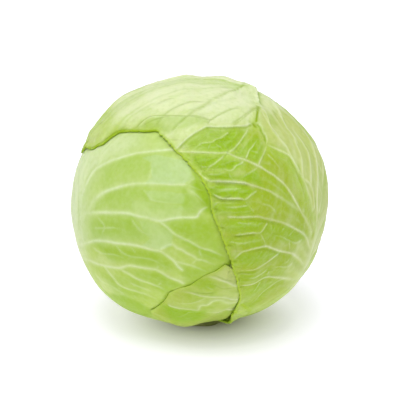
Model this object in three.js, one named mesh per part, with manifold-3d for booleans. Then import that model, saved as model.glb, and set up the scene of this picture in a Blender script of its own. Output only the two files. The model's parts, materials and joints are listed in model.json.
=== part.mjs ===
// A green-white cabbage head, trimmed for the market: a dense inner head on a cut stem, wrapped
// by four large leaves with raised ribs. Millimetres, +Z up, front towards -Y. The origin is
// under the middle of the head, on the flat that the stem was cut to.

import * as THREE from 'three';
import { mergeVertices } from 'three/addons/utils/BufferGeometryUtils.js';
import Module from 'manifold-3d';

const wasm = await Module();
wasm.setup();

// Driving dimensions.
const HEAD_RADIUS = 87.5;      // across the head, to the outer face of the innermost wrapper leaf
const HEAD_RISE = 83.5;        // from the middle of the head up to that face at the crown
const HEAD_DROP = 81.5;        // from the middle down to it over the stem
const MIDDLE_HEIGHT = 89.5;    // of the head's middle above the cut
const LEAF_THICKNESS = 1.0;
const LAYER_PITCH = 2.6;       // from one leaf's outer face to the next one's
const DRAPE = [14, 28];        // a leaf comes down over this distance past the edge of one below it
const PRESSED = [6, 15];       // and holds what lies below it flat until this far past its own edge
const PRESSED_RIB = 0.12;      // share of a rib's rise that is left there
const EDGE_LIFT = 1.7;         // how far a free edge stands off at the crest of a wave
const EDGE_WAVE = 24;          // crest to crest along a free edge
const EDGE_BAND = 0.84;        // the waves fade inside this share of the way out from the middle
const STEM_RADIUS = 19;
const STEM_HEIGHT = 13;
const HEAD_CLEARANCE = 2;      // between the inner head and the innermost leaf
const JOINT_GAP = 0.5;         // clear space between the stem and what grows from it
const FOOT = -74.5;            // elevation of the leaf feet, round the stem, in degrees
const RIB_ROOT = 0.6;          // how deep a rib's foot is sunk in its blade
const RIB_STEP = 10;           // length of one straight stretch of a rib
const RIB_END = 0.35;          // share of a rib's rise that is left at its two ends

// The front drawing: lines are given on a sheet as a viewer sees them, x to the right and y down.
const SHEET_UNIT = 0.703;      // millimetres at the head's middle for one unit of the sheet
const SHEET_MIDDLE = [200.5, 199.5];
const VIEW_DISTANCE = 1100;
const VIEW_TILT = THREE.MathUtils.degToRad(20);

const smooth = THREE.MathUtils.smoothstep;
const mix = THREE.MathUtils.lerp;
const rad = THREE.MathUtils.degToRad;

// ---------------------------------------------------------------- the round of the head

// Swellings and flats: azimuth and elevation, spread in degrees and height in millimetres.
const SWELLINGS = [
  { place: [-64, -45], spread: 27, height: 8 },
  { place: [-84, -16], spread: 24, height: 2.2 },
  { place: [-84, 22], spread: 34, height: 1.6 },
  { place: [100, 50], spread: 26, height: -2.2 },
  { place: [86, -12], spread: 26, height: -4.6 },
  { place: [109, 67], spread: 6, height: 3.2 },
];

function at(azimuth, elevation) {
  const level = Math.cos(rad(elevation));
  const x = level * Math.sin(rad(azimuth));
  const y = -level * Math.cos(rad(azimuth));
  return new THREE.Vector3(x, y, Math.sin(rad(elevation)));
}

function headRadius(direction) {
  const reach = direction.z > 0 ? HEAD_RISE : HEAD_DROP;
  const level = Math.hypot(direction.x, direction.y) / HEAD_RADIUS;
  let radius = 1 / Math.hypot(level, direction.z / reach);
  for (const { place, spread, height } of SWELLINGS) {
    const away = direction.angleTo(at(...place)) / rad(spread);
    radius += height * Math.exp(-away * away);
  }
  return radius;
}

// The direction, from the head's middle, of the place that is seen at a point of the sheet.
function seen(x, y) {
  const right = new THREE.Vector3(1, 0, 0);
  const up = new THREE.Vector3(0, Math.sin(VIEW_TILT), Math.cos(VIEW_TILT));
  const back = new THREE.Vector3(0, -Math.cos(VIEW_TILT), Math.sin(VIEW_TILT));
  const eye = back.clone().multiplyScalar(VIEW_DISTANCE);
  const aim = right.multiplyScalar((x - SHEET_MIDDLE[0]) * SHEET_UNIT);
  aim.addScaledVector(up, (SHEET_MIDDLE[1] - y) * SHEET_UNIT);
  const ray = aim.sub(eye).normalize();
  const nearest = -eye.dot(ray);
  const missSquared = eye.lengthSq() - nearest * nearest;
  const round = HEAD_RADIUS + LAYER_PITCH;
  const half = Math.sqrt(Math.max(round * round - missSquared, 0));
  return eye.addScaledVector(ray, nearest - half).normalize();
}

const traced = (points) => points.map(([x, y]) => seen(x, y));
const charted = (points) => points.map(([azimuth, elevation]) => at(azimuth, elevation));

// ---------------------------------------------------------------- leaf outlines

// A leaf lies round its own middle. A place on it is a distance (an angle at the head's middle)
// and a bearing from there, 0 towards the crown and growing to the right seen from outside.
function leafFrame([azimuth, elevation]) {
  const middle = at(azimuth, elevation);
  const side = new THREE.Vector3(Math.cos(rad(azimuth)), Math.sin(rad(azimuth)), 0);
  const up = new THREE.Vector3().crossVectors(middle, side);
  return { middle, side, up };
}

function polar({ middle, side, up }, direction) {
  const bearing = Math.atan2(direction.dot(side), direction.dot(up));
  return { distance: middle.angleTo(direction), bearing };
}

function direct({ middle, side, up }, distance, bearing) {
  const across = up.clone().multiplyScalar(Math.cos(bearing));
  across.addScaledVector(side, Math.sin(bearing));
  return middle.clone().multiplyScalar(Math.cos(distance)).addScaledVector(across, Math.sin(distance));
}

const OUTLINE_SAMPLES = 720;

// The distance of the leaf's edge at each bearing, from a smooth closed curve through its points.
function edgeDistances(frame, points) {
  const flat = points.map((direction) => {
    const { distance, bearing } = polar(frame, direction);
    return new THREE.Vector3(distance * Math.sin(bearing), distance * Math.cos(bearing), 0);
  });
  const curve = new THREE.CatmullRomCurve3(flat, true, 'centripetal');
  const table = new Array(OUTLINE_SAMPLES).fill(0);
  const steps = OUTLINE_SAMPLES * 8;
  for (let step = 0; step < steps; step += 1) {
    const point = curve.getPoint(step / steps);
    const turn = (Math.atan2(point.x, point.y) / (2 * Math.PI) + 1) % 1;
    const slot = Math.floor(turn * OUTLINE_SAMPLES);
    table[slot] = Math.max(table[slot], point.length());
  }
  for (let slot = 0; slot < OUTLINE_SAMPLES; slot += 1) {
    if (table[slot] === 0) table[slot] = table[(slot + OUTLINE_SAMPLES - 1) % OUTLINE_SAMPLES];
  }
  return table;
}

function edgeDistance(leaf, bearing) {
  const turn = ((bearing / (2 * Math.PI) + 1) % 1) * OUTLINE_SAMPLES;
  const slot = Math.floor(turn) % OUTLINE_SAMPLES;
  const next = (slot + 1) % OUTLINE_SAMPLES;
  return mix(leaf.edge[slot], leaf.edge[next], turn - Math.floor(turn));
}

// 1 where a leaf lies, down to 0 past its edge.
function cover(leaf, direction, [near, far]) {
  const { distance, bearing } = polar(leaf.frame, direction);
  const past = (distance - edgeDistance(leaf, bearing)) * HEAD_RADIUS;
  return 1 - smooth(past, near, far);
}

// ---------------------------------------------------------------- the four leaves

// Each leaf: the middle it is drawn round, the points of its edge clockwise, the cells of its
// blade, its colour, and its ribs as lines with the width and rise that they start and end with.
const rib = (line, start, end) => ({ line, start, end });
const MIDRIB = [{ width: 15, rise: 4.2 }, { width: 7, rise: 2.2 }];
const LONG_RIB = [{ width: 4.8, rise: 2.1 }, { width: 2.4, rise: 0.8 }];
const SIDE_RIB = [{ width: 3.4, rise: 1.6 }, { width: 1.8, rise: 0.6 }];
const NET_RIB = [{ width: 2.4, rise: 1.1 }, { width: 1.6, rise: 0.6 }];

const leafLeft = {
  name: 'leaf_left',
  middle: [-98, 2],
  colour: 0xbcd777,
  cells: 20,
  edge: charted([
    [-97, 80], [-50, 74], [-12, 58], [12, 38], [21, 12], [20, -12], [10, -34], [-12, -54],
    [-30, -68], [-42, FOOT], [-70, FOOT], [-97, FOOT], [-124, FOOT], [-152, FOOT],
    [-172, -62], [178, -38], [174, -10], [177, 20], [-175, 46], [-150, 68],
  ]),
  ribs: [
    rib(charted([[-80, -72], [-77, -52], [-72, -24], [-70, 2], [-72, 26], [-79, 48]]), ...MIDRIB),
    rib(traced([
      [82, 203], [88, 184], [95, 171], [110, 162], [125, 157], [140, 153], [160, 151], [176, 150],
    ]), ...LONG_RIB),
    rib(traced([
      [83, 214], [92, 205], [100, 195], [110, 190], [124, 186], [140, 184], [160, 184], [187, 185],
    ]), ...LONG_RIB),
    rib(traced([
      [82, 219], [90, 213], [109, 212], [129, 213], [147, 218],
      [160, 221], [180, 218], [197, 217], [209, 207],
    ]), ...LONG_RIB),
    rib(traced([[160, 221], [170, 229], [184, 239], [200, 247], [222, 255]]), ...SIDE_RIB),
    rib(traced([
      [83, 245], [95, 241], [111, 242], [130, 245], [150, 249], [161, 251], [173, 260], [180, 267],
    ]), ...LONG_RIB),
    rib(traced([[160, 250], [172, 245], [187, 253], [203, 260], [214, 264]]), ...SIDE_RIB),
    rib(traced([[88, 260], [100, 264], [120, 268], [136, 266], [155, 269], [166, 274]]), ...LONG_RIB),
    rib(traced([[121, 268], [134, 278], [146, 282], [153, 285]]), ...SIDE_RIB),
    rib(traced([[105, 267], [113, 277], [121, 285], [135, 292], [150, 297]]), ...SIDE_RIB),
    rib(traced([[88, 172], [97, 156], [110, 144], [121, 136], [130, 131]]), ...SIDE_RIB),
    rib(charted([[-74, -36], [-90, -30], [-106, -20], [-118, -14]]), ...LONG_RIB),
    rib(charted([[-71, -14], [-88, -6], [-104, 6], [-118, 12]]), ...LONG_RIB),
  ],
};

const leafFront = {
  name: 'leaf_front',
  middle: [36, -24],
  colour: 0xb4ce66,
  cells: 15,
  edge: [
    ...charted([[34, 38], [62, 34], [84, 16], [93, -12], [92, -42], [88, -66], [72, FOOT],
      [36, FOOT], [0, FOOT], [-26, FOOT]]),
    ...traced([[150, 314], [162, 304], [168, 297], [181, 290], [199, 281], [217, 272], [231, 264]]),
    ...charted([[17, -13], [18, 16]]),
  ],
  ribs: [
    rib(traced([[242, 304], [226, 302], [214, 300], [200, 307], [188, 309], [170, 307]]), ...LONG_RIB),
    rib(traced([[242, 300], [226, 297], [210, 297], [196, 296], [186, 296]]), ...SIDE_RIB),
    rib(traced([[240, 289], [226, 282], [212, 279], [201, 281]]), ...SIDE_RIB),
    rib(traced([[226, 313], [206, 311], [192, 312], [181, 315]]), ...SIDE_RIB),
  ],
};

const leafBack = {
  name: 'leaf_back',
  middle: [168, 4],
  colour: 0xadc95c,
  cells: 20,
  edge: charted([
    [168, 76], [-160, 66], [-136, 48], [-124, 26], [-121, 4], [-118, -18], [-121, -42],
    [-130, -62], [-138, FOOT], [-165, FOOT], [172, FOOT], [142, FOOT], [114, FOOT],
    [98, -56], [88, -32], [84, -4], [86, 24], [98, 50], [126, 68],
  ]),
  ribs: [
    rib(charted([[172, -72], [172, -48], [171, -18], [172, 8], [176, 30], [180, 42]]), ...MIDRIB),
    rib(charted([[173, -50], [-170, -46], [-152, -36], [-134, -22]]), ...LONG_RIB),
    rib(charted([[172, -34], [-172, -28], [-154, -14], [-138, -3], [-124, 2]]), ...LONG_RIB),
    rib(charted([[172, -16], [-172, -6], [-157, 8], [-142, 16], [-127, 20]]), ...LONG_RIB),
    rib(charted([[172, 0], [-174, 12], [-160, 22], [-144, 29]]), ...LONG_RIB),
  ],
};

const leafRight = {
  name: 'leaf_right',
  middle: [84, 46],
  colour: 0xa8c052,
  cells: 25,
  edge: [
    ...traced([[80, 152], [84, 146], [92, 147], [101, 143], [109, 137], [117, 130], [130, 129],
      [145, 130], [157, 129], [166, 140], [177, 151], [188, 162], [200, 175], [207, 187],
      [211, 202], [214, 218], [220, 233], [226, 248], [230, 260], [233, 271], [236, 283],
      [239, 293], [241, 301], [238, 308], [230, 318]]),
    ...charted([[22, -73], [38, FOOT], [64, FOOT], [92, FOOT], [116, FOOT], [134, -62],
      [148, -38], [156, -14], [160, 10], [170, 26], [-172, 34], [-150, 36], [-128, 29],
      [-112, 24]]),
  ].reverse(),
  ribs: [
    rib(charted([[60, -72], [58, -52], [58, -26], [62, -8], [58, 5]]), ...MIDRIB),
    rib(traced([
      [313, 213], [308, 192], [302, 177], [296, 163], [287, 155], [278, 149], [267, 144],
    ]), ...LONG_RIB),
    rib(traced([
      [312, 232], [308, 225], [301, 212], [296, 203], [288, 189], [278, 180], [267, 171],
      [257, 165], [243, 159], [228, 153], [208, 153], [190, 151], [176, 150],
    ]), ...LONG_RIB),
    rib(traced([[228, 153], [237, 145], [244, 135], [249, 126], [254, 120]]), ...SIDE_RIB),
    rib(traced([
      [254, 120], [246, 124], [227, 125], [208, 126], [197, 133], [188, 139], [176, 147],
    ]), ...SIDE_RIB),
    rib(traced([[245, 160], [250, 150], [256, 141], [260, 136]]), ...NET_RIB),
    rib(traced([[258, 166], [263, 156], [267, 147], [266, 141]]), ...SIDE_RIB),
    rib(traced([[226, 154], [219, 160], [209, 166], [203, 173]]), ...NET_RIB),
    rib(traced([
      [300, 210], [286, 201], [275, 195], [264, 189],
      [249, 186], [234, 183], [218, 182], [207, 179],
    ]), ...LONG_RIB),
    rib(traced([[257, 190], [245, 197], [238, 199], [226, 199], [213, 194]]), ...SIDE_RIB),
    rib(traced([
      [310, 244], [305, 235], [292, 227], [280, 222], [264, 218], [250, 216], [227, 217],
    ]), ...LONG_RIB),
    rib(traced([[267, 222], [260, 230], [262, 240], [265, 245]]), ...SIDE_RIB),
    rib(traced([
      [304, 264], [296, 256], [284, 252], [270, 247], [258, 246], [245, 249], [232, 252],
    ]), ...LONG_RIB),
    rib(traced([[281, 252], [270, 260], [257, 266], [245, 269], [235, 270]]), ...SIDE_RIB),
    rib(traced([[294, 279], [280, 278], [266, 277], [255, 282], [240, 286]]), ...SIDE_RIB),
    rib(traced([[284, 281], [271, 286], [262, 294], [252, 303]]), ...SIDE_RIB),
    rib(traced([[313, 205], [317, 188], [316, 170], [311, 150], [305, 133], [297, 120]]), ...SIDE_RIB),
    rib(traced([
      [311, 196], [304, 175], [300, 157], [293, 137], [284, 117], [272, 101], [258, 92],
    ]), ...SIDE_RIB),
    rib(traced([[310, 185], [303, 160], [288, 136], [270, 114], [262, 103], [257, 92]]), ...SIDE_RIB),
    rib(traced([
      [249, 85], [239, 86], [224, 92], [210, 99], [197, 108], [183, 119], [165, 133],
    ]), ...SIDE_RIB),
    rib(traced([[250, 85], [230, 82], [204, 98], [186, 104], [172, 110], [150, 120]]), ...SIDE_RIB),
    rib(traced([[254, 92], [241, 105], [230, 108], [217, 114], [209, 120]]), ...SIDE_RIB),
    rib(charted([[116, 66], [150, 64], [-174, 58], [-154, 46]]), ...SIDE_RIB),
    rib(charted([[117, 64], [138, 52], [156, 38], [168, 30]]), ...SIDE_RIB),
    rib(charted([[64, 2], [82, 22], [98, 44], [106, 60]]), ...LONG_RIB),
    rib(charted([[63, -14], [84, 2], [106, 22], [114, 44], [111, 60]]), ...LONG_RIB),
    rib(charted([[61, -28], [84, -16], [110, 0], [132, 14], [150, 22]]), ...LONG_RIB),
    rib(charted([[60, -42], [84, -36], [110, -26], [134, -16], [152, -10]]), ...LONG_RIB),
    rib(charted([[60, -56], [84, -52], [108, -48], [132, -42]]), ...SIDE_RIB),
  ],
};

// From the inside out.
const LEAVES = [leafLeft, leafFront, leafBack, leafRight];
for (const leaf of LEAVES) {
  leaf.frame = leafFrame(leaf.middle);
  leaf.edge = edgeDistances(leaf.frame, leaf.edge);
}

// ---------------------------------------------------------------- blades and ribs

// How free a leaf is of the ones that lie over it, from 0 under them to 1 in the open.
function openness(leaf, direction) {
  const above = LEAVES.slice(LEAVES.indexOf(leaf) + 1);
  return above.reduce((free, other) => free * (1 - cover(other, direction, PRESSED)), 1);
}

function bladeRadius(leaf, direction, reach, bearing) {
  const below = LEAVES.slice(0, LEAVES.indexOf(leaf));
  const layers = below.reduce((sum, other) => sum + cover(other, direction, DRAPE), 0);
  const along = bearing * edgeDistance(leaf, bearing) * HEAD_RADIUS;
  const wave = 0.5 + 0.5 * Math.sin((along * 2 * Math.PI) / EDGE_WAVE);
  const lift = smooth(reach, EDGE_BAND, 1) * EDGE_LIFT * wave * openness(leaf, direction);
  const clasp = smooth(direction.z, -0.97, -0.9);
  return headRadius(direction) + layers * LAYER_PITCH + lift * clasp;
}

// A square of cells laid over a round, so that its border follows the leaf's edge.
function squareToRound(a, b) {
  if (a === 0 && b === 0) return { reach: 0, bearing: 0 };
  const wide = a * a > b * b;
  const radius = wide ? a : b;
  const turn = wide ? (Math.PI / 4) * (b / a) : Math.PI / 2 - (Math.PI / 4) * (a / b);
  const x = radius * Math.cos(turn);
  const y = radius * Math.sin(turn);
  return { reach: Math.hypot(x, y), bearing: Math.atan2(x, y) };
}

function bladeGeometry(leaf) {
  const { cells, frame } = leaf;
  const outer = [];
  const inner = [];
  for (let row = 0; row <= cells; row += 1) {
    for (let column = 0; column <= cells; column += 1) {
      const { reach, bearing } = squareToRound((2 * column) / cells - 1, (2 * row) / cells - 1);
      const direction = direct(frame, reach * edgeDistance(leaf, bearing), bearing);
      const radius = bladeRadius(leaf, direction, reach, bearing);
      outer.push(direction.clone().multiplyScalar(radius));
      inner.push(direction.clone().multiplyScalar(radius - LEAF_THICKNESS));
    }
  }
  const place = (row, column) => row * (cells + 1) + column;
  const faces = [];
  const under = outer.length;
  const quad = (a, b, c, d) => {
    faces.push(a, b, c, a, c, d);
  };
  for (let row = 0; row < cells; row += 1) {
    for (let column = 0; column < cells; column += 1) {
      const [a, b] = [place(row, column), place(row, column + 1)];
      const [c, d] = [place(row + 1, column + 1), place(row + 1, column)];
      quad(a, b, c, d);
      faces.push(a + under, c + under, b + under, a + under, d + under, c + under);
    }
  }
  for (let step = 0; step < cells; step += 1) {
    const border = [
      [place(0, step), place(0, step + 1)],
      [place(step, cells), place(step + 1, cells)],
      [place(cells, cells - step), place(cells, cells - step - 1)],
      [place(cells - step, 0), place(cells - step - 1, 0)],
    ];
    for (const [from, to] of border) quad(to, from, from + under, to + under);
  }
  return geometryOf([...outer, ...inner], faces);
}

function geometryOf(points, faces) {
  const geometry = new THREE.BufferGeometry().setFromPoints(points);
  geometry.setIndex(faces);
  return geometry;
}

// The radius of the blade's flat facets in a direction, so that a rib's foot sits in them.
function facetRadius(blade, direction) {
  const hits = new THREE.Raycaster(new THREE.Vector3(), direction).intersectObject(blade);
  return hits.length ? hits[hits.length - 1].distance : headRadius(direction);
}

// A rib is a ridge of three sides, whose two lower corners are sunk in the blade.
function ribGeometry(leaf, blade, { line, start, end }) {
  const curve = new THREE.CatmullRomCurve3(line.map((way) => way.clone().multiplyScalar(HEAD_RADIUS)));
  const steps = Math.max(2, Math.round(curve.getLength() / RIB_STEP));
  const points = [];
  const faces = [];
  for (let step = 0; step <= steps; step += 1) {
    const share = step / steps;
    const out = curve.getPointAt(share).normalize();
    const ahead = curve.getTangentAt(share);
    const side = new THREE.Vector3().crossVectors(ahead, out).normalize();
    const half = mix(start.width, end.width, share) / 2;
    const taper = Math.min(1, RIB_END + Math.min(step, steps - step));
    const rise = mix(start.rise, end.rise, share) * taper * ribFreedom(leaf, out);
    const radius = facetRadius(blade, out);
    const foot = out.clone().multiplyScalar(radius - RIB_ROOT);
    points.push(foot.clone().addScaledVector(side, half));
    points.push(foot.clone().addScaledVector(side, -half));
    points.push(out.clone().multiplyScalar(radius + rise));
    if (step === 0) continue;
    const [near, far] = [points.length - 6, points.length - 3];
    for (let corner = 0; corner < 3; corner += 1) {
      const next = (corner + 1) % 3;
      faces.push(near + corner, near + next, far + next, near + corner, far + next, far + corner);
    }
  }
  const last = points.length - 3;
  faces.push(0, 2, 1, last, last + 1, last + 2);
  return geometryOf(points, faces);
}

// Ribs flatten where another leaf presses on them.
function ribFreedom(leaf, direction) {
  return mix(PRESSED_RIB, 1, openness(leaf, direction));
}

function solidOf(geometry) {
  const merged = mergeVertices(geometry, 1e-4);
  const vertProperties = new Float32Array(merged.attributes.position.array);
  const triVerts = new Uint32Array(merged.index.array);
  return new wasm.Manifold(new wasm.Mesh({ numProp: 3, vertProperties, triVerts }));
}

// The outer skin alone: joining can leave small sealed hollows and loose scraps.
function outerBody(solid) {
  return solid.decompose().reduce((best, body) => (body.volume() > best.volume() ? body : best));
}

function geometryFrom(solid) {
  const mesh = outerBody(solid).getMesh();
  const geometry = new THREE.BufferGeometry();
  geometry.setAttribute('position', new THREE.BufferAttribute(new Float32Array(mesh.vertProperties), 3));
  geometry.setIndex(new THREE.BufferAttribute(new Uint32Array(mesh.triVerts), 1));
  geometry.computeVertexNormals();
  return geometry;
}

const finish = (colour, roughness) =>
  new THREE.MeshStandardMaterial({ color: colour, roughness, metalness: 0, flatShading: true });

function leafMesh(leaf) {
  const geometry = bladeGeometry(leaf);
  const blade = new THREE.Mesh(geometry, new THREE.MeshBasicMaterial({ side: THREE.DoubleSide }));
  let solid = solidOf(geometry);
  for (const ridge of leaf.ribs) solid = solid.add(solidOf(ribGeometry(leaf, blade, ridge)));
  const mesh = new THREE.Mesh(geometryFrom(solid), finish(leaf.colour, 0.45));
  mesh.name = leaf.name;
  return mesh;
}

// ---------------------------------------------------------------- inner head and stem

const SEAT_HEIGHT = STEM_HEIGHT + JOINT_GAP - MIDDLE_HEIGHT;   // where the inner head meets the stem

function innerHeadMesh() {
  const geometry = new THREE.SphereGeometry(1, 24, 14).rotateX(Math.PI / 2);
  geometry.deleteAttribute('normal');
  geometry.deleteAttribute('uv');
  const position = geometry.attributes.position;
  const inset = LEAF_THICKNESS + HEAD_CLEARANCE;
  for (let index = 0; index < position.count; index += 1) {
    const direction = new THREE.Vector3().fromBufferAttribute(position, index).normalize();
    const point = direction.clone().multiplyScalar(headRadius(direction) - inset);
    point.z = Math.max(point.z, SEAT_HEIGHT);
    position.setXYZ(index, point.x, point.y, point.z);
  }
  const mesh = new THREE.Mesh(mergeVertices(geometry, 1e-4), finish(0xd9e6a6, 0.5));
  mesh.geometry.computeVertexNormals();
  mesh.name = 'inner_head';
  return mesh;
}

function stemMesh() {
  const half = STEM_HEIGHT / 2;
  const profile = [
    [0, -half], [STEM_RADIUS - 1.2, -half], [STEM_RADIUS, -half + 1.2],
    [STEM_RADIUS - 0.5, 0], [STEM_RADIUS + 1, half - 1], [STEM_RADIUS + 1, half], [0, half],
  ];
  const outline = profile.map(([x, y]) => new THREE.Vector2(x, y));
  const geometry = new THREE.LatheGeometry(outline, 24).rotateX(Math.PI / 2);
  const mesh = new THREE.Mesh(geometry, finish(0xdbe0b4, 0.7));
  mesh.name = 'stem';
  mesh.position.z = half - MIDDLE_HEIGHT;
  return mesh;
}

// ---------------------------------------------------------------- the whole head

const cabbage = new THREE.Group();
cabbage.add(stemMesh(), innerHeadMesh(), ...LEAVES.map(leafMesh));
const box = new THREE.Box3().setFromObject(cabbage);
cabbage.position.set(-(box.min.x + box.max.x) / 2, -(box.min.y + box.max.y) / 2, -box.min.z);
cabbage.updateMatrixWorld(true);

export default cabbage;
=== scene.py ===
"""A head of green cabbage: four wrapper leaves over a tight heart, on a cut stem."""

import json
import math

import bpy
import numpy as np
from bpy.props import EnumProperty, FloatProperty, FloatVectorProperty, IntProperty, PointerProperty
from bpy.types import Operator, Panel, PropertyGroup
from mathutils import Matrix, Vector, kdtree, noise

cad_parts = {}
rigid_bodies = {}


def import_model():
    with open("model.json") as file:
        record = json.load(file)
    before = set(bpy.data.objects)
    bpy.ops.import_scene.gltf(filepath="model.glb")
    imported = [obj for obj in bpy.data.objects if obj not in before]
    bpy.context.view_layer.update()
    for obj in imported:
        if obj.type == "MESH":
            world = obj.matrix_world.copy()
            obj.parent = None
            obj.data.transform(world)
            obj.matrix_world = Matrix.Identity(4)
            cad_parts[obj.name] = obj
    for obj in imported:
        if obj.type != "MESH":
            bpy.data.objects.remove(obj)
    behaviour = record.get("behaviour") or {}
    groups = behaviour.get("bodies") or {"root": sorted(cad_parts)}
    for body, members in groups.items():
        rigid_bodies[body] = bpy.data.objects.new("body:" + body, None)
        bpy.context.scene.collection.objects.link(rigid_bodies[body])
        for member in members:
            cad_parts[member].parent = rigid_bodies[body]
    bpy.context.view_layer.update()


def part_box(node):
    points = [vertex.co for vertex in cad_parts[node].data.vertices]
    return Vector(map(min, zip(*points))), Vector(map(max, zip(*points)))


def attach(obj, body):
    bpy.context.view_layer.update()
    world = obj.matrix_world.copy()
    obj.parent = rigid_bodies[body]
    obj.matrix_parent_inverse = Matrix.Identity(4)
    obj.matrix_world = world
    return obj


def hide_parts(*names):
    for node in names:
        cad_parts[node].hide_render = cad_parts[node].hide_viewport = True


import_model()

bl_info = {
    "name": "Cabbage Head",
    "version": (1, 0, 0),
    "blender": (4, 5, 0),
    "location": "View3D > Sidebar > Cabbage",
    "description": "Grows a head of green cabbage leaf by leaf over its packed solids",
    "category": "Add Mesh",
}

MM = 0.001


def hex_colour(code):
    """An sRGB hex value such as "a9cc55", as the linear red, green and blue that shaders take."""
    parts = [int(code[place : place + 2], 16) / 255 for place in (0, 2, 4)]
    return tuple(p / 12.92 if p <= 0.04045 else ((p + 0.055) / 1.055) ** 2.4 for p in parts)


# ---------------------------------------------------------------- sizes and colours to change


class CabbageShape(PropertyGroup):
    thickness: FloatProperty(
        name="Leaf thickness",
        description="Thickness of a leaf's blade between its ribs",
        default=0.9 * MM,
        min=0.3 * MM,
        max=2 * MM,
        unit="LENGTH",
    )
    ribs: FloatProperty(
        name="Ribs",
        description="How far ribs, veins and creases stand out, as a share of their drawn height",
        default=1.0,
        min=0,
        max=2,
        subtype="FACTOR",
    )
    buckle: FloatProperty(
        name="Buckle",
        description="Height of the broad, soft unevenness of a blade",
        default=0.55 * MM,
        min=0,
        max=3 * MM,
        unit="LENGTH",
    )
    cells: IntProperty(
        name="Cells",
        description="Cells across the inner face of a leaf; its outer face has three times as many",
        default=93,
        min=20,
        max=96,
    )


def colour_setting(name, description, code):
    return FloatVectorProperty(name=name, description=description, subtype="COLOR", default=hex_colour(code))


class CabbageColours(PropertyGroup):
    blade: colour_setting("Blade", "Leaf between its veins", "b7ce5e")
    # Deep green is partly painted shade, laid under ribs and steps, along margins that lie on other leaves and
    # low on the head, and partly the blade's own darker green.
    deep: colour_setting("Deep green", "Thick, shaded cells of a leaf", "90b610")
    # Olive is laid low and to the right of the head, and as painted shade along the shaded band of the right
    # flank's midrib, beside its fold and in the creases between the crown's pleats.
    olive: colour_setting("Olive", "Older leaf, low and to the right", "9cac18")
    mellow: colour_setting("Mellow", "Pale leaf that begins to yellow", "bcc874")
    # Pale is partly painted highlight: laid over the top of the head, down its left rim, on the crests of folds
    # and on the upper sides of veins.
    pale: colour_setting("Pale", "Pale, waxy parts of a leaf", "e3eac2")
    # Painted reflection: bluish patches of the soft light's sheen on the wax, laid as a colour.
    painted_wax_sheen: colour_setting("Bloom", "Bluish wax on a young leaf", "bcd8ae")
    vein: colour_setting("Vein", "Ribs and veins", "e4eec6")
    rim: colour_setting("Rim", "Thin free margin of a leaf", "a2c014")
    # Painted shade: laid in creases, slots and fine lines and at the foot of steps.
    crease: colour_setting("Crease", "Folds and hollows", "74900a")
    # Lip olive is partly painted shade: laid on the undersides and walls of margins, on the leaves below along
    # the margins that lie over them, in slots and folds, and low on the head; partly the own colour of rolled
    # lips.
    lip: colour_setting("Lip", "Thick, rolled part of a margin, and its underside", "8caa06")


class CabbageStage(PropertyGroup):
    floor: colour_setting("Floor", "Colour of the paper floor", "d8d5e6")
    # Painted bounce light: the green that the leaves throw on the paper right under them.
    painted_bounce: colour_setting("Foot", "Colour of the paper right under the leaves", "d3d2a6")
    # Painted light: a glow in the paper, growing away from the head, that keeps the head's shadow close under
    # it.
    glow: FloatProperty(
        name="Glow",
        description="Light that comes through the floor away from the head",
        default=0.5,
        min=0,
        max=2,
    )
    sky: FloatProperty(
        name="Surround", description="Brightness of the white surround", default=0.6, min=0, max=5
    )
    key: FloatProperty(
        name="Key light", description="Strength of the large soft light", default=2.1, min=0, max=20
    )


# ---------------------------------------------------------------- the round of the head
# Lengths in this and the next parts are millimetres from the middle of the head. Directions are
# unit vectors from there. Azimuth 0 is the front, and grows to the right seen from the front.

HEAD_RADIUS = 87.5  # across the head, to the outer face of the innermost wrapper leaf
HEAD_RISE = 83.5  # up to that face at the crown
HEAD_DROP = 81.5  # down to it over the stem
MIDDLE_HEIGHT = 89.5  # of the middle above the cut
HEART_DEPTH = 3.4  # of the heart's face under the innermost leaf's
LAYER_PITCH = 2.6  # from one leaf's outer face to the next one's
FOOT = -74.5  # elevation of the leaf feet, round the stem
CROWN = (109, 67)  # azimuth and elevation of the knob that the outermost leaf's folds run out from
DRAPE = (4, 20)  # a leaf comes down over this distance past the edge of one below it
MARGIN = 12  # width of the free margin that lies down on the leaf below
SETTLE = 2.25  # how far it lies down
STEM_RADIUS = 19.0
STEM_HEIGHT = 13.0
JOINT_GAP = 0.5  # from the stem up to the heart
LINE_SPACING = 0.5  # between the points of a smooth line

# Azimuth and elevation, spread in degrees, height.
SWELLINGS = [
    ((-64, -45), 27, 8.0),
    ((-84, -16), 24, 2.2),
    ((-84, 22), 34, 1.6),
    ((100, 50), 26, -2.2),
    ((86, -12), 26, -4.6),
    (CROWN, 6, 2.2),
    ((138, 74), 4.5, 2.0),
    ((-142, 65), 20, -1.8),
    ((-115, 49), 12, 3.0),
    ((78, -33), 14, 2.2),
    ((99, 24), 8, 1.5),
    ((-80, -28), 13, -1.4),
    ((94, 11), 14, -1.6),
    ((65, -50), 14, -0.2),
    ((-18, -66), 20, 2.4),
]

stem_low, stem_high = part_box("stem")
MIDDLE = np.array([(stem_low.x + stem_high.x) / 2, (stem_low.y + stem_high.y) / 2, MIDDLE_HEIGHT * MM])


def at(azimuth, elevation):
    """Directions from azimuths and elevations in degrees."""
    azimuth, elevation = np.radians(azimuth), np.radians(elevation)
    level = np.cos(elevation)
    return np.stack([level * np.sin(azimuth), -level * np.cos(azimuth), np.sin(elevation)], axis=-1)


def unit(vectors):
    return vectors / np.linalg.norm(vectors, axis=-1, keepdims=True)


def ease(value, start, end):
    """0 up to start, 1 from end on, and a smooth rise between."""
    share = np.clip((value - start) / (end - start), 0, 1)
    return share * share * (3 - 2 * share)


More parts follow.
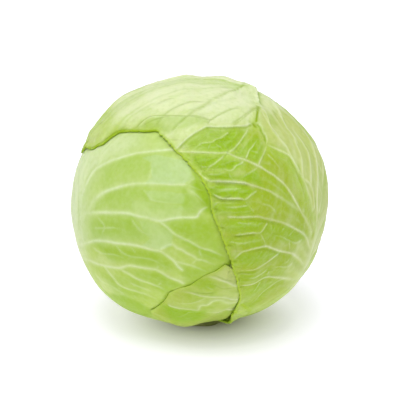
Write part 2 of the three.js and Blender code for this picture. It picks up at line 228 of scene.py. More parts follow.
def head_radius(direction):
    """The innermost leaf's outer face: a flattened ball with swellings."""
    reach = np.where(direction[..., 2] > 0, HEAD_RISE, HEAD_DROP)
    level = np.hypot(direction[..., 0], direction[..., 1]) / HEAD_RADIUS
    radius = 1 / np.hypot(level, direction[..., 2] / reach)
    for place, spread, height in SWELLINGS:
        away = np.degrees(np.arccos(np.clip(direction @ at(*place), -1, 1))) / spread
        radius = radius + height * np.exp(-away * away)
    return radius


# The front is drawn on a square sheet, as a viewer sees it: x to the right and y down.
SHEET_UNIT = 0.703  # millimetres at the head's middle for one unit of the sheet
SHEET_MIDDLE = (200.5, 199.5)
SHEET_SIDE = 400
VIEW_DISTANCE = 1100.0
VIEW_TILT = 20.0  # degrees down
RIGHT = np.array([1.0, 0.0, 0.0])
UP = np.array([0.0, math.sin(math.radians(VIEW_TILT)), math.cos(math.radians(VIEW_TILT))])
BACK = np.array([0.0, -math.cos(math.radians(VIEW_TILT)), math.sin(math.radians(VIEW_TILT))])
EYE = BACK * VIEW_DISTANCE


def seen(points, layer=0.0):
    """The directions of the places that are seen at points of the sheet."""
    x, y = np.array(points, float).reshape(-1, 2).T
    aim = np.outer((x - SHEET_MIDDLE[0]) * SHEET_UNIT, RIGHT)
    aim = aim + np.outer((SHEET_MIDDLE[1] - y) * SHEET_UNIT, UP)
    ray = unit(aim - EYE)
    nearest = -(ray @ EYE)
    missed = EYE @ EYE - nearest**2
    radius = np.full(len(x), HEAD_RADIUS + layer)
    for _ in range(8):  # the head isn't a ball, so each round starts from the radius found there
        half = np.sqrt(np.maximum(radius**2 - missed, 0))
        direction = unit(EYE + ray * (nearest - half)[:, None])
        radius = head_radius(direction) + layer
    # A point off the head stands for a place as far round behind it.
    beyond = np.maximum(np.sqrt(missed) - radius, 0) / HEAD_RADIUS
    return unit(np.cos(beyond)[:, None] * direction + np.sin(beyond)[:, None] * ray)


def charted(points):
    """Directions from pairs of azimuth and elevation."""
    azimuth, elevation = np.array(points, float).reshape(-1, 2).T
    return at(azimuth, elevation)


def smooth_line(points, closed=False, spacing=LINE_SPACING):
    """A smooth curve (centripetal Catmull-Rom) through points, with a point every spacing."""
    points = np.asarray(points, float)
    if closed:
        ends = np.vstack([points[-1:], points, points[:2]])
    else:
        ends = np.vstack([2 * points[0] - points[1], points, 2 * points[-1] - points[-2]])
    curve = []
    for a, b, c, d in zip(ends, ends[1:], ends[2:], ends[3:]):
        before, along, after = (max(np.linalg.norm(q - p), 1e-6) ** 0.5 for p, q in ((a, b), (b, c), (c, d)))
        leave = ((b - a) / before - (c - a) / (before + along) + (c - b) / along) * along
        arrive = ((c - b) / along - (d - b) / (along + after) + (d - c) / after) * along
        count = max(2, math.ceil(np.linalg.norm(c - b) / spacing))
        t = np.linspace(0, 1, count, endpoint=False)[:, None]
        curve.append(
            b * (2 * t**3 - 3 * t**2 + 1)
            + leave * (t**3 - 2 * t**2 + t)
            + c * (3 * t**2 - 2 * t**3)
            + arrive * (t**3 - t**2)
        )
    return np.vstack(curve + ([] if closed else [points[-1:]]))


# ---------------------------------------------------------------- ribs, veins and creases

# Half width at the start and at the end, height there, and how pale it is; below 0, how dark it is painted, as
# painted shade.
STRANDS = {
    "midrib": ((6.0, 3.0), (3.2, 1.2), 0.5),
    "rib": ((1.3, 0.8), (0.95, 0.45), 1.0),
    "side": ((0.95, 0.6), (0.7, 0.3), 0.8),
    "net": ((0.7, 0.45), (0.35, 0.15), 0.5),
    "vein": ((0.6, 0.4), (0.2, 0.1), 0.35),
    "pleat": ((1.5, 1.2), (0.8, 0.55), 0.5),
    "crease": ((0.9, 0.7), (-0.6, -0.4), -0.5),
    "slot": ((1.0, 0.8), (-0.8, -0.6), -1.0),
    "line": ((0.55, 0.45), (-0.2, -0.15), -0.35),
    "streak": ((1.4, 1.0), (0.12, 0.12), 0.55),
}

# Widths of a vein's pale core, of the halo round it and of the broad shoulder under it, as shares
# of its own, and the shoulder's share of its height.
CORE_WIDTH = 0.75
HALO_WIDTH = 1.6
SHOULDER_WIDTH = 2.6
SHOULDER_HEIGHT = 0.45
NET_GAP = 7  # a blade is fullest this far from a rib
RIB_ROOT = (4, 40)  # a rib is wide, soft and faint up to the first, and itself from the second
# Painted highlight and shade: the upper side of a vein is painted pale and its lower side deep green, as light
# from above falls on them.
LIT_SIDE = 4  # a vein's upper side is pale over this distance
LEE_SIDE = 4.5  # its lower side is deepest at this distance
BRANCH_PITCH = 11  # from one branch of a grown rib to the next
BRANCH_REACH = (15, 27)
TWIG_REACH = (7, 12)
WAVE_HEIGHT = 0.34  # of the small waves along a free margin

# Each leaf, with its middle on the head and how far out it lies:
# "crowd" draws the cells of its grid together where its detail is, to the right and up if above 0.
# "drawn" strands are on the sheet, and "grown" ones are charted and get branches.
# "veins": how pale they are, how pale the blade beside them is, and shares of the widths, of the
# heights and of the height of the broad shoulders under them.
# "root", "lit", "lee" and "lean": how much of a rib's root fades, how pale the upper side of a vein
# is painted, as painted highlight, how deep its lower side is painted, as painted shade, and how much
# the blade leans over between them.
# "rim" and "lip": how strongly the margin is coloured, and how high its rolled lip is.
# "pillow" and "crinkle": how full the blade is between ribs, and how rough.
# "nicks" and "fibres": how ragged the margin is, and how streaked the leaf round the crown.
# A step is a height, a distance and a line: it stands up on the left of its line, seen from
# outside, or on the right if its height is below 0, and eases back over the distance.
# A zone is a tone, its amount, the width of its soft border and an outline.
# A stroke is a tone, its amount, half the width of its brush and a line.
# A lift is a place, its spread and how far the free margin stands off there.

LEFT = {
    "piece": "wrapper_left",
    "about": "The pale leaf on the left of the front",
    "node": "leaf_left",
    "middle": (-98, 2),
    "layer": 0.0,
    "crowd": (0.25, 0.0),
    "edge": charted([
        (-97, 80), (-50, 74), (-12, 58), (12, 38), (21, 12), (20, -12), (10, -34), (-12, -54),
        (-30, -68), (-42, FOOT), (-70, FOOT), (-97, FOOT), (-124, FOOT), (-152, FOOT),
        (-172, -62), (178, -38), (174, -10), (177, 20), (-175, 46), (-150, 68),
    ]),
    "drawn": [
        ("rib", (80, 216, 82.4, 203, 84.3, 193, 87.5, 184, 94.5, 171.5, 103, 165.7, 110.6, 162, 120, 158.5,
            130, 155.5, 138, 153.5, 149.7, 152.2, 159.3, 151, 169.6, 149.9, 176, 150.3)),
        ("rib", (86, 217, 89.4, 210.6, 92, 204.8, 95.2, 199.7, 99.7, 195.8, 105.4, 192, 114.4, 188.8,
            130.4, 184.8, 140, 184, 161.6, 184.3, 174.4, 184.9, 188, 184.9)),
        ("net", (187, 185, 190.5, 181, 193.7, 178.5, 191, 174)),
        ("net", (187, 185, 190.5, 186.2, 196.9, 188.8, 203.3, 190.7)),
        ("rib", (78, 223, 81.7, 218.8, 85, 214.6, 90.7, 213.3, 100, 212.6, 109.3, 212.7, 129.2, 213.7,
            136.9, 215.8, 146.5, 217.9, 159.3, 221, 169.6, 219.1, 180.8, 217.6, 196.9, 217, 198.8, 213.8,
            202, 210, 209, 206.5)),
        ("side", (159.3, 221.3, 164.4, 224.9, 170.2, 230, 174, 233.4, 184.3, 239.2, 190, 241.7, 199.7, 247.5,
            210.6, 250.7, 219.6, 254.6, 227, 257.5)),
        ("net", (199, 248, 201, 255.2, 203, 258.4)),
        ("rib", (79, 246, 83.3, 244.4, 90.7, 242.2, 95.2, 240.9, 105.4, 241.2, 117.6, 243.1, 130.4, 244.7,
            143.3, 247.3, 155.4, 250.5, 160, 251, 164.4, 253.7, 170.2, 257.8, 174.7, 261.6, 177.9, 266.1,
            184.3, 271.9)),
        ("side", (159.3, 250.2, 162.5, 248.3, 169.6, 244.6, 172.8, 244.6, 177.2, 248.1, 182.4, 250,
            186.9, 253.3, 193.3, 256.5, 197.1, 259.4, 202.9, 260.3, 209.3, 262.9, 217, 265.4)),
        ("net", (172.8, 244.6, 172.4, 240.4)),
        ("net", (197.1, 259.4, 191.3, 264.2)),
        ("net", (175.3, 261, 185.6, 263.8, 192, 265.4, 198.4, 268, 204.8, 270.6, 211.9, 271.9)),
        ("rib", (82, 257, 90, 260.4, 100.3, 264.3, 113.1, 266.9, 120.2, 267.8, 129.2, 265.5, 143.3, 267.8,
            156, 269.5, 160.6, 271.9, 165.7, 275.1, 170.2, 277.6, 180.4, 281.5, 184.9, 285.3)),
        ("side", (120.2, 268.5, 129.8, 274.2, 134, 277.4, 140.7, 280.5, 149, 283.1, 155.4, 285.3, 161.8, 287.9,
            168.3, 292.4)),
        ("net", (158, 284.8, 161.8, 282.2)),
        ("side", (102, 264, 106, 267.5, 109.3, 272, 113.1, 276.5, 120.2, 285, 130.4, 289.6, 138.8, 292.4,
            145.2, 294.3, 158, 300)),
        ("net", (96, 273, 101.6, 279.7, 111.9, 285.4, 117.6, 289.3, 124, 293.8, 130.4, 297.6)),
        ("net", (98.4, 216.9, 103.5, 223.3, 105.4, 227.8, 102.9, 232.2, 102.6, 237.4)),
        ("net", (95.2, 228, 105.4, 227.8, 113.1, 227.4, 124, 229.4)),
        ("net", (131.1, 218.1, 137.5, 227.1, 144.6, 232.9, 154.8, 234.8)),
        ("net", (115.7, 244.4, 122.8, 252.1, 131.1, 256.3, 143.9, 257.9, 154.8, 260.4, 163.8, 265.6,
            169.6, 267.5)),
        ("net", (157.4, 268.8, 159.3, 264.3)),
        ("net", (131.1, 247, 136.2, 253.7)),
        ("net", (93.3, 247, 101.6, 252.8, 114.4, 254.4, 124.7, 258.5, 127.2, 263)),
        ("net", (152.2, 168.3, 149.7, 177.2, 143.3, 184.3)),
        ("net", (143.3, 188.8, 149.7, 196.5, 152.2, 199.7, 162.5, 202.2, 179.5, 203.5)),
        ("net", (131, 283, 146.5, 289.3, 153, 292)),
        ("net", (190.5, 190.7, 198.8, 197.1, 205.8, 204.2, 209, 205.5)),
        ("streak", (116, 133.7, 110.3, 142, 104, 150, 97, 160)),
        ("streak", (130.2, 131.5, 118, 140.1, 111.6, 145.8, 104, 154, 96, 166)),
        ("line", (80.5, 168, 80.5, 190, 80, 215, 81, 240)),
        ("streak", (81, 160, 77, 180, 75.5, 205, 77, 232, 82, 256)),
        ("streak", (88, 158, 82.5, 176, 80, 196)),
        ("streak", (96, 152, 88, 170, 83.5, 192, 82, 214, 84, 240, 92, 266)),
        ("streak", (104, 157, 95, 172, 90, 186)),
    ],
    "grown": [
        ("midrib", [(-80, -72), (-77, -52), (-72, -24), (-70, 2), (-72, 26), (-79, 48)]),
        ("rib", [(-74, -36), (-90, -30), (-106, -20), (-122, -12)]),
        ("rib", [(-71, -14), (-88, -6), (-104, 6), (-122, 14)]),
        ("side", [(-70, 6), (-86, 16), (-104, 26), (-120, 30)]),
        ("side", [(-77, -54), (-94, -52), (-112, -46), (-130, -42)]),
    ],
    "veins": (0.3, 0.16, 1.15, 0.3, 0.9),
    "root": 0.95,
    "lit": 0.22,
    "lee": 0.15,
    "lean": 0.15,
    "rim": 0.5,
    "lip": 0.2,
    "pillow": 0.35,
    "crinkle": 0.24,
    "zones": [
        # The bluish zones are painted reflections of the soft light on the waxy blade.
        ("painted_wax_sheen", 0.18, 7, (60, 120, 170, 120, 205, 185, 205, 215, 170, 226, 150, 242, 84, 244, 50, 200)),
        ("painted_wax_sheen", 0.45, 0.9, (141.4, 157.9, 155.7, 154.3, 188.6, 161.4, 192.9, 178.6, 184.3, 184, 144.3, 184,
            151.4, 177.1, 150.7, 162.9)),
        ("painted_wax_sheen", 0.34, 0.9, (146, 190, 170, 191.4, 185.7, 194, 184.3, 204, 161.4, 203, 150, 201.4)),
        ("painted_wax_sheen", 0.26, 0.9, (131.4, 199, 151.4, 202, 184.3, 205.5, 181.4, 217.5, 158.6, 220.5, 131.4, 213.3)),
        ("painted_wax_sheen", 0.3, 0.9, (138.6, 219.5, 158.6, 223.5, 172.9, 232.9, 172.1, 245.7, 158.6, 249.5, 141.4, 245.7,
            150, 238.6, 141.4, 228.6)),
        ("pale", 0.15, 3, (98, 253, 112, 256, 124, 262, 112, 265, 96, 260)),
        ("pale", 0.2, 3, (98, 276, 110, 280, 120, 288, 132, 300, 118, 296, 104, 288)),
        # Painted highlight: a pale band down the left rim of the head, where light and sheen graze it.
        ("pale", 0.48, 12, (40, 160, 84, 144, 112, 134, 140, 134, 140, 138, 134, 147, 128, 152, 110, 160,
            97, 172, 89, 188, 86, 215, 87, 240, 88, 262, 40, 270)),
        # The deep zones are partly painted shade, in cells under ribs, beside the margin above and low on the
        # leaf, and partly the blade's own darker green.
        ("deep", 0.2, 4.5, (102, 180, 107, 169, 117, 162, 141.4, 158, 150.7, 163, 151.4, 177, 141.4, 183,
            117, 184, 104, 191)),
        ("deep", 0.3, 4.5, (96, 208, 101, 198, 117, 189, 145.7, 187.5, 150, 200, 132.9, 200, 131.4, 211,
            113, 210)),
        ("deep", 0.5, 5, (92, 223, 100, 218, 131.4, 218, 141.4, 230, 150, 238.6, 141.4, 243, 105.7, 238,
            94, 240)),
        ("deep", 0.55, 3.5, (98, 245, 124, 248.6, 155.7, 252, 168.6, 263, 172.9, 268.6, 155.7, 268, 130, 264,
            112, 262)),
        ("deep", 0.55, 2.5, (184.3, 188.6, 202.9, 204.3, 198.6, 215, 183, 217, 184.3, 200)),
        ("deep", 0.6, 5, (163, 224, 198.6, 219.5, 212.9, 222, 222, 244, 226, 262, 205, 262, 184, 245)),
        ("deep", 0.95, 4, (194, 172, 210, 194, 213, 215, 203, 210, 192, 186)),
        ("deep", 0.5, 4, (124, 270, 160, 273, 184, 287, 168, 295, 150, 284)),
        ("deep", 0.5, 4, (178, 265, 206, 268, 226, 262, 220, 271, 188, 288)),
        ("deep", 0.2, 3, (150, 199, 180, 199, 182, 213, 150, 212)),
        ("deep", 0.35, 6, (104, 276, 140, 276, 146, 298, 120, 298)),
        ("deep", 0.7, 3, (104, 290, 124, 294, 142, 303, 156, 312, 146, 318, 126, 308)),
    ],
    "strokes": [
        # Painted shadow: deep green and lip olive along the margins of the leaves that lie over this one, and
        # lip olive where its low edge turns under.
        ("deep", 0.9, 1.6, (150, 312, 163, 302, 169, 294, 190, 286.5, 204, 277.5, 224, 266.5, 231, 262)),
        ("deep", 0.5, 2.0, (213, 209, 216, 217)),
        ("lip", 0.25, 4, (199, 188, 204, 204)),
        ("lip", 0.3, 4, (100, 291, 118, 303, 138, 312, 156, 318)),
        ("lip", 0.5, 3, (203, 282, 213, 274.5, 222, 268.5, 230, 262)),
        ("lip", 0.4, 3, (216, 222, 221, 238, 226, 252, 230, 260)),
        ("lip", 0.4, 1.5, (84, 150.5, 92, 149.5, 97, 147, 104, 143.5, 110, 138, 116, 133.5, 123, 132, 145, 132,
            156, 132)),
        ("lip", 0.3, 1.5, (160, 136, 172, 149.5, 187, 164, 196, 174, 203, 185)),
        ("lip", 0.35, 1.3, (163, 301, 169, 293, 190, 285.5, 204, 276.5, 224, 265.5, 230, 261)),
    ],
}

FRONT = {
    "piece": "wrapper_front",
    "about": "The leaf low in the front, under the right one",
    "node": "leaf_front",
    "middle": (36, -24),
    "layer": 2.6,
    "crowd": (-0.2, -0.2),
    "edge": np.vstack([
        charted([
            (34, 38), (62, 34), (84, 16), (93, -12), (92, -42), (88, -66), (72, FOOT), (36, FOOT),
            (0, FOOT), (-26, FOOT),
        ]),
        seen([
            (150, 314), (155, 310), (162.4, 304.3), (164.9, 301.1), (166.9, 298.5), (168.5, 295),
            (171.3, 293.7), (175.2, 291.8), (180.3, 290.2), (185.4, 288.9), (190.6, 287),
            (194.4, 284.4), (199.6, 280.9), (204, 278.3), (210.4, 275.4), (217.5, 272.2),
            (223.3, 267.8), (231, 263.9),
        ], 2.6),
        charted([(17, -13), (18, 16)]),
    ]),
    "drawn": [
        ("rib", (246, 305, 236, 303, 226.5, 301.7, 220, 299.2, 213.7, 299.8, 207.2, 303.7, 200.8, 304.9,
            198.3, 308.8, 188, 308.5, 175.2, 307.5, 166, 306.4)),
        ("side", (246, 287, 232.9, 285.1, 226.5, 281.9, 220, 280.6, 210.4, 279.3, 200.8, 280.8)),
        ("crease", (233, 281.5, 226.5, 280.4, 217.5, 277.8, 210.4, 276.7)),
        ("line", (233, 288, 223.3, 288.3, 213.7, 285.1, 204, 285.7)),
        ("net", (213.7, 288.9, 204, 286.3)),
        ("crease", (216, 291.6, 206, 293.2, 194.4, 293.4, 188, 292.1)),
        ("side", (246, 301, 232.9, 299.2, 223.3, 296.9, 213.7, 296.3, 200, 295.6, 190, 294.3, 178, 294)),
        ("line", (225.2, 297.2, 238, 301.1)),
        ("side", (240, 313, 226.5, 312, 213, 312, 200.8, 310.7)),
        ("net", (200, 310.7, 190, 311, 183.7, 314.2, 170.8, 317.4)),
        ("net", (206, 297, 196, 301, 184, 303, 174, 303)),
    ],
    "grown": [
        ("midrib", [(44, -72), (45, -52), (46, -24), (46, 4)]),
    ],
    "veins": (0.1, 0.2, 0.9, 0.4, 1.6),
    "root": 0.6,
    "lit": 0.25,
    "lee": 0.35,
    "lean": 0.6,
    "rim": 0.25,
    "lip": 0.12,
    "pillow": 0.5,
    "crinkle": 0.35,
    "zones": [
        # Olive and deep green laid low on this leaf are partly painted shade.
        ("olive", 0.46, 4, (231, 258, 244, 284, 244, 306, 232, 322, 204, 326, 170, 326, 150, 318, 160, 300,
            190, 285)),
        ("mellow", 0.6, 3, (231, 262, 238, 284, 240, 304, 226, 304, 218, 290, 212, 281, 222, 272)),
        ("mellow", 0.5, 2.5, (196, 300, 210, 296, 238, 300, 238, 312, 216, 316, 204, 314)),
        ("deep", 0.5, 3.2, (190, 281.5, 206, 280, 216, 285, 214, 289, 196, 290)),
        ("deep", 0.5, 2.8, (186, 291, 200, 291.5, 215, 290.5, 214, 295, 196, 294.5)),
        # Painted shade: deep green along the bottom of the leaf, which faces down.
        ("deep", 0.9, 6, (158, 306, 180, 310, 204, 311, 200, 320, 176, 322)),
    ],
    "strokes": [
        ("rim", 0.5, 1.6, (158, 319, 177, 321, 203, 321)),
        # Painted shade: lip olive low on the leaf, under the head.
        ("lip", 0.3, 5, (165, 315, 185, 315, 206, 315)),
        ("lip", 0.2, 4, (180, 307, 196, 308, 208, 308)),
    ],
}

BACK_LEAF = {
    "piece": "wrapper_back",
    "about": "The leaf over the back",
    "node": "leaf_back",
    "middle": (168, 4),
    "layer": 2.6,
    "crowd": (0.0, 0.0),
    "edge": charted([
        (168, 76), (-160, 66), (-136, 48), (-124, 26), (-121, 4), (-118, -18), (-121, -42),
        (-130, -62), (-138, FOOT), (-165, FOOT), (172, FOOT), (142, FOOT), (114, FOOT),
        (98, -56), (88, -32), (84, -4), (86, 24), (98, 50), (126, 68),
    ]),
    "drawn": [],
    "grown": [
        ("midrib", [(172, -72), (172, -48), (171, -18), (172, 8), (176, 30), (180, 42)]),
        ("rib", [(173, -50), (-170, -46), (-152, -36), (-134, -22)]),
        ("rib", [(172, -34), (-172, -28), (-154, -14), (-138, -3), (-124, 2)]),
        ("rib", [(172, -16), (-172, -6), (-157, 8), (-142, 16), (-127, 20)]),
        ("rib", [(172, 0), (-174, 12), (-160, 22), (-144, 29)]),
        ("side", [(171, -60), (-160, -60), (-142, -54), (-128, -46)]),
        ("rib", [(171, -42), (158, -36), (142, -20), (128, 0)]),
        ("rib", [(171, -24), (160, -16), (148, 2), (138, 22)]),
    ],
    "veins": (0.38, 0.2, 0.9, 0.5, 1.4),
    "root": 0.3,
    "lit": 0.3,
    "lee": 0.5,
    "lean": 0.3,
    "rim": 0.7,
    "lip": 0.2,
    "pillow": 0.6,
    "crinkle": 0.4,
    "zones": [],
    "strokes": [],
}

# Two folds that are both shaped and coloured with painted shade: from the crown to the left, and down the right
# flank.
CROWN_FOLD = (249.7, 84.8, 238.8, 86.4, 230.4, 88.6, 222.5, 92.5, 215, 96, 207.5, 101.3, 198, 108.5,
              190, 115, 181, 123, 172.5, 131.3)
FLANK_FOLD = (290, 159.5, 295.6, 170.2, 300.2, 181.8, 304.1, 195.6, 307.2, 207.2)

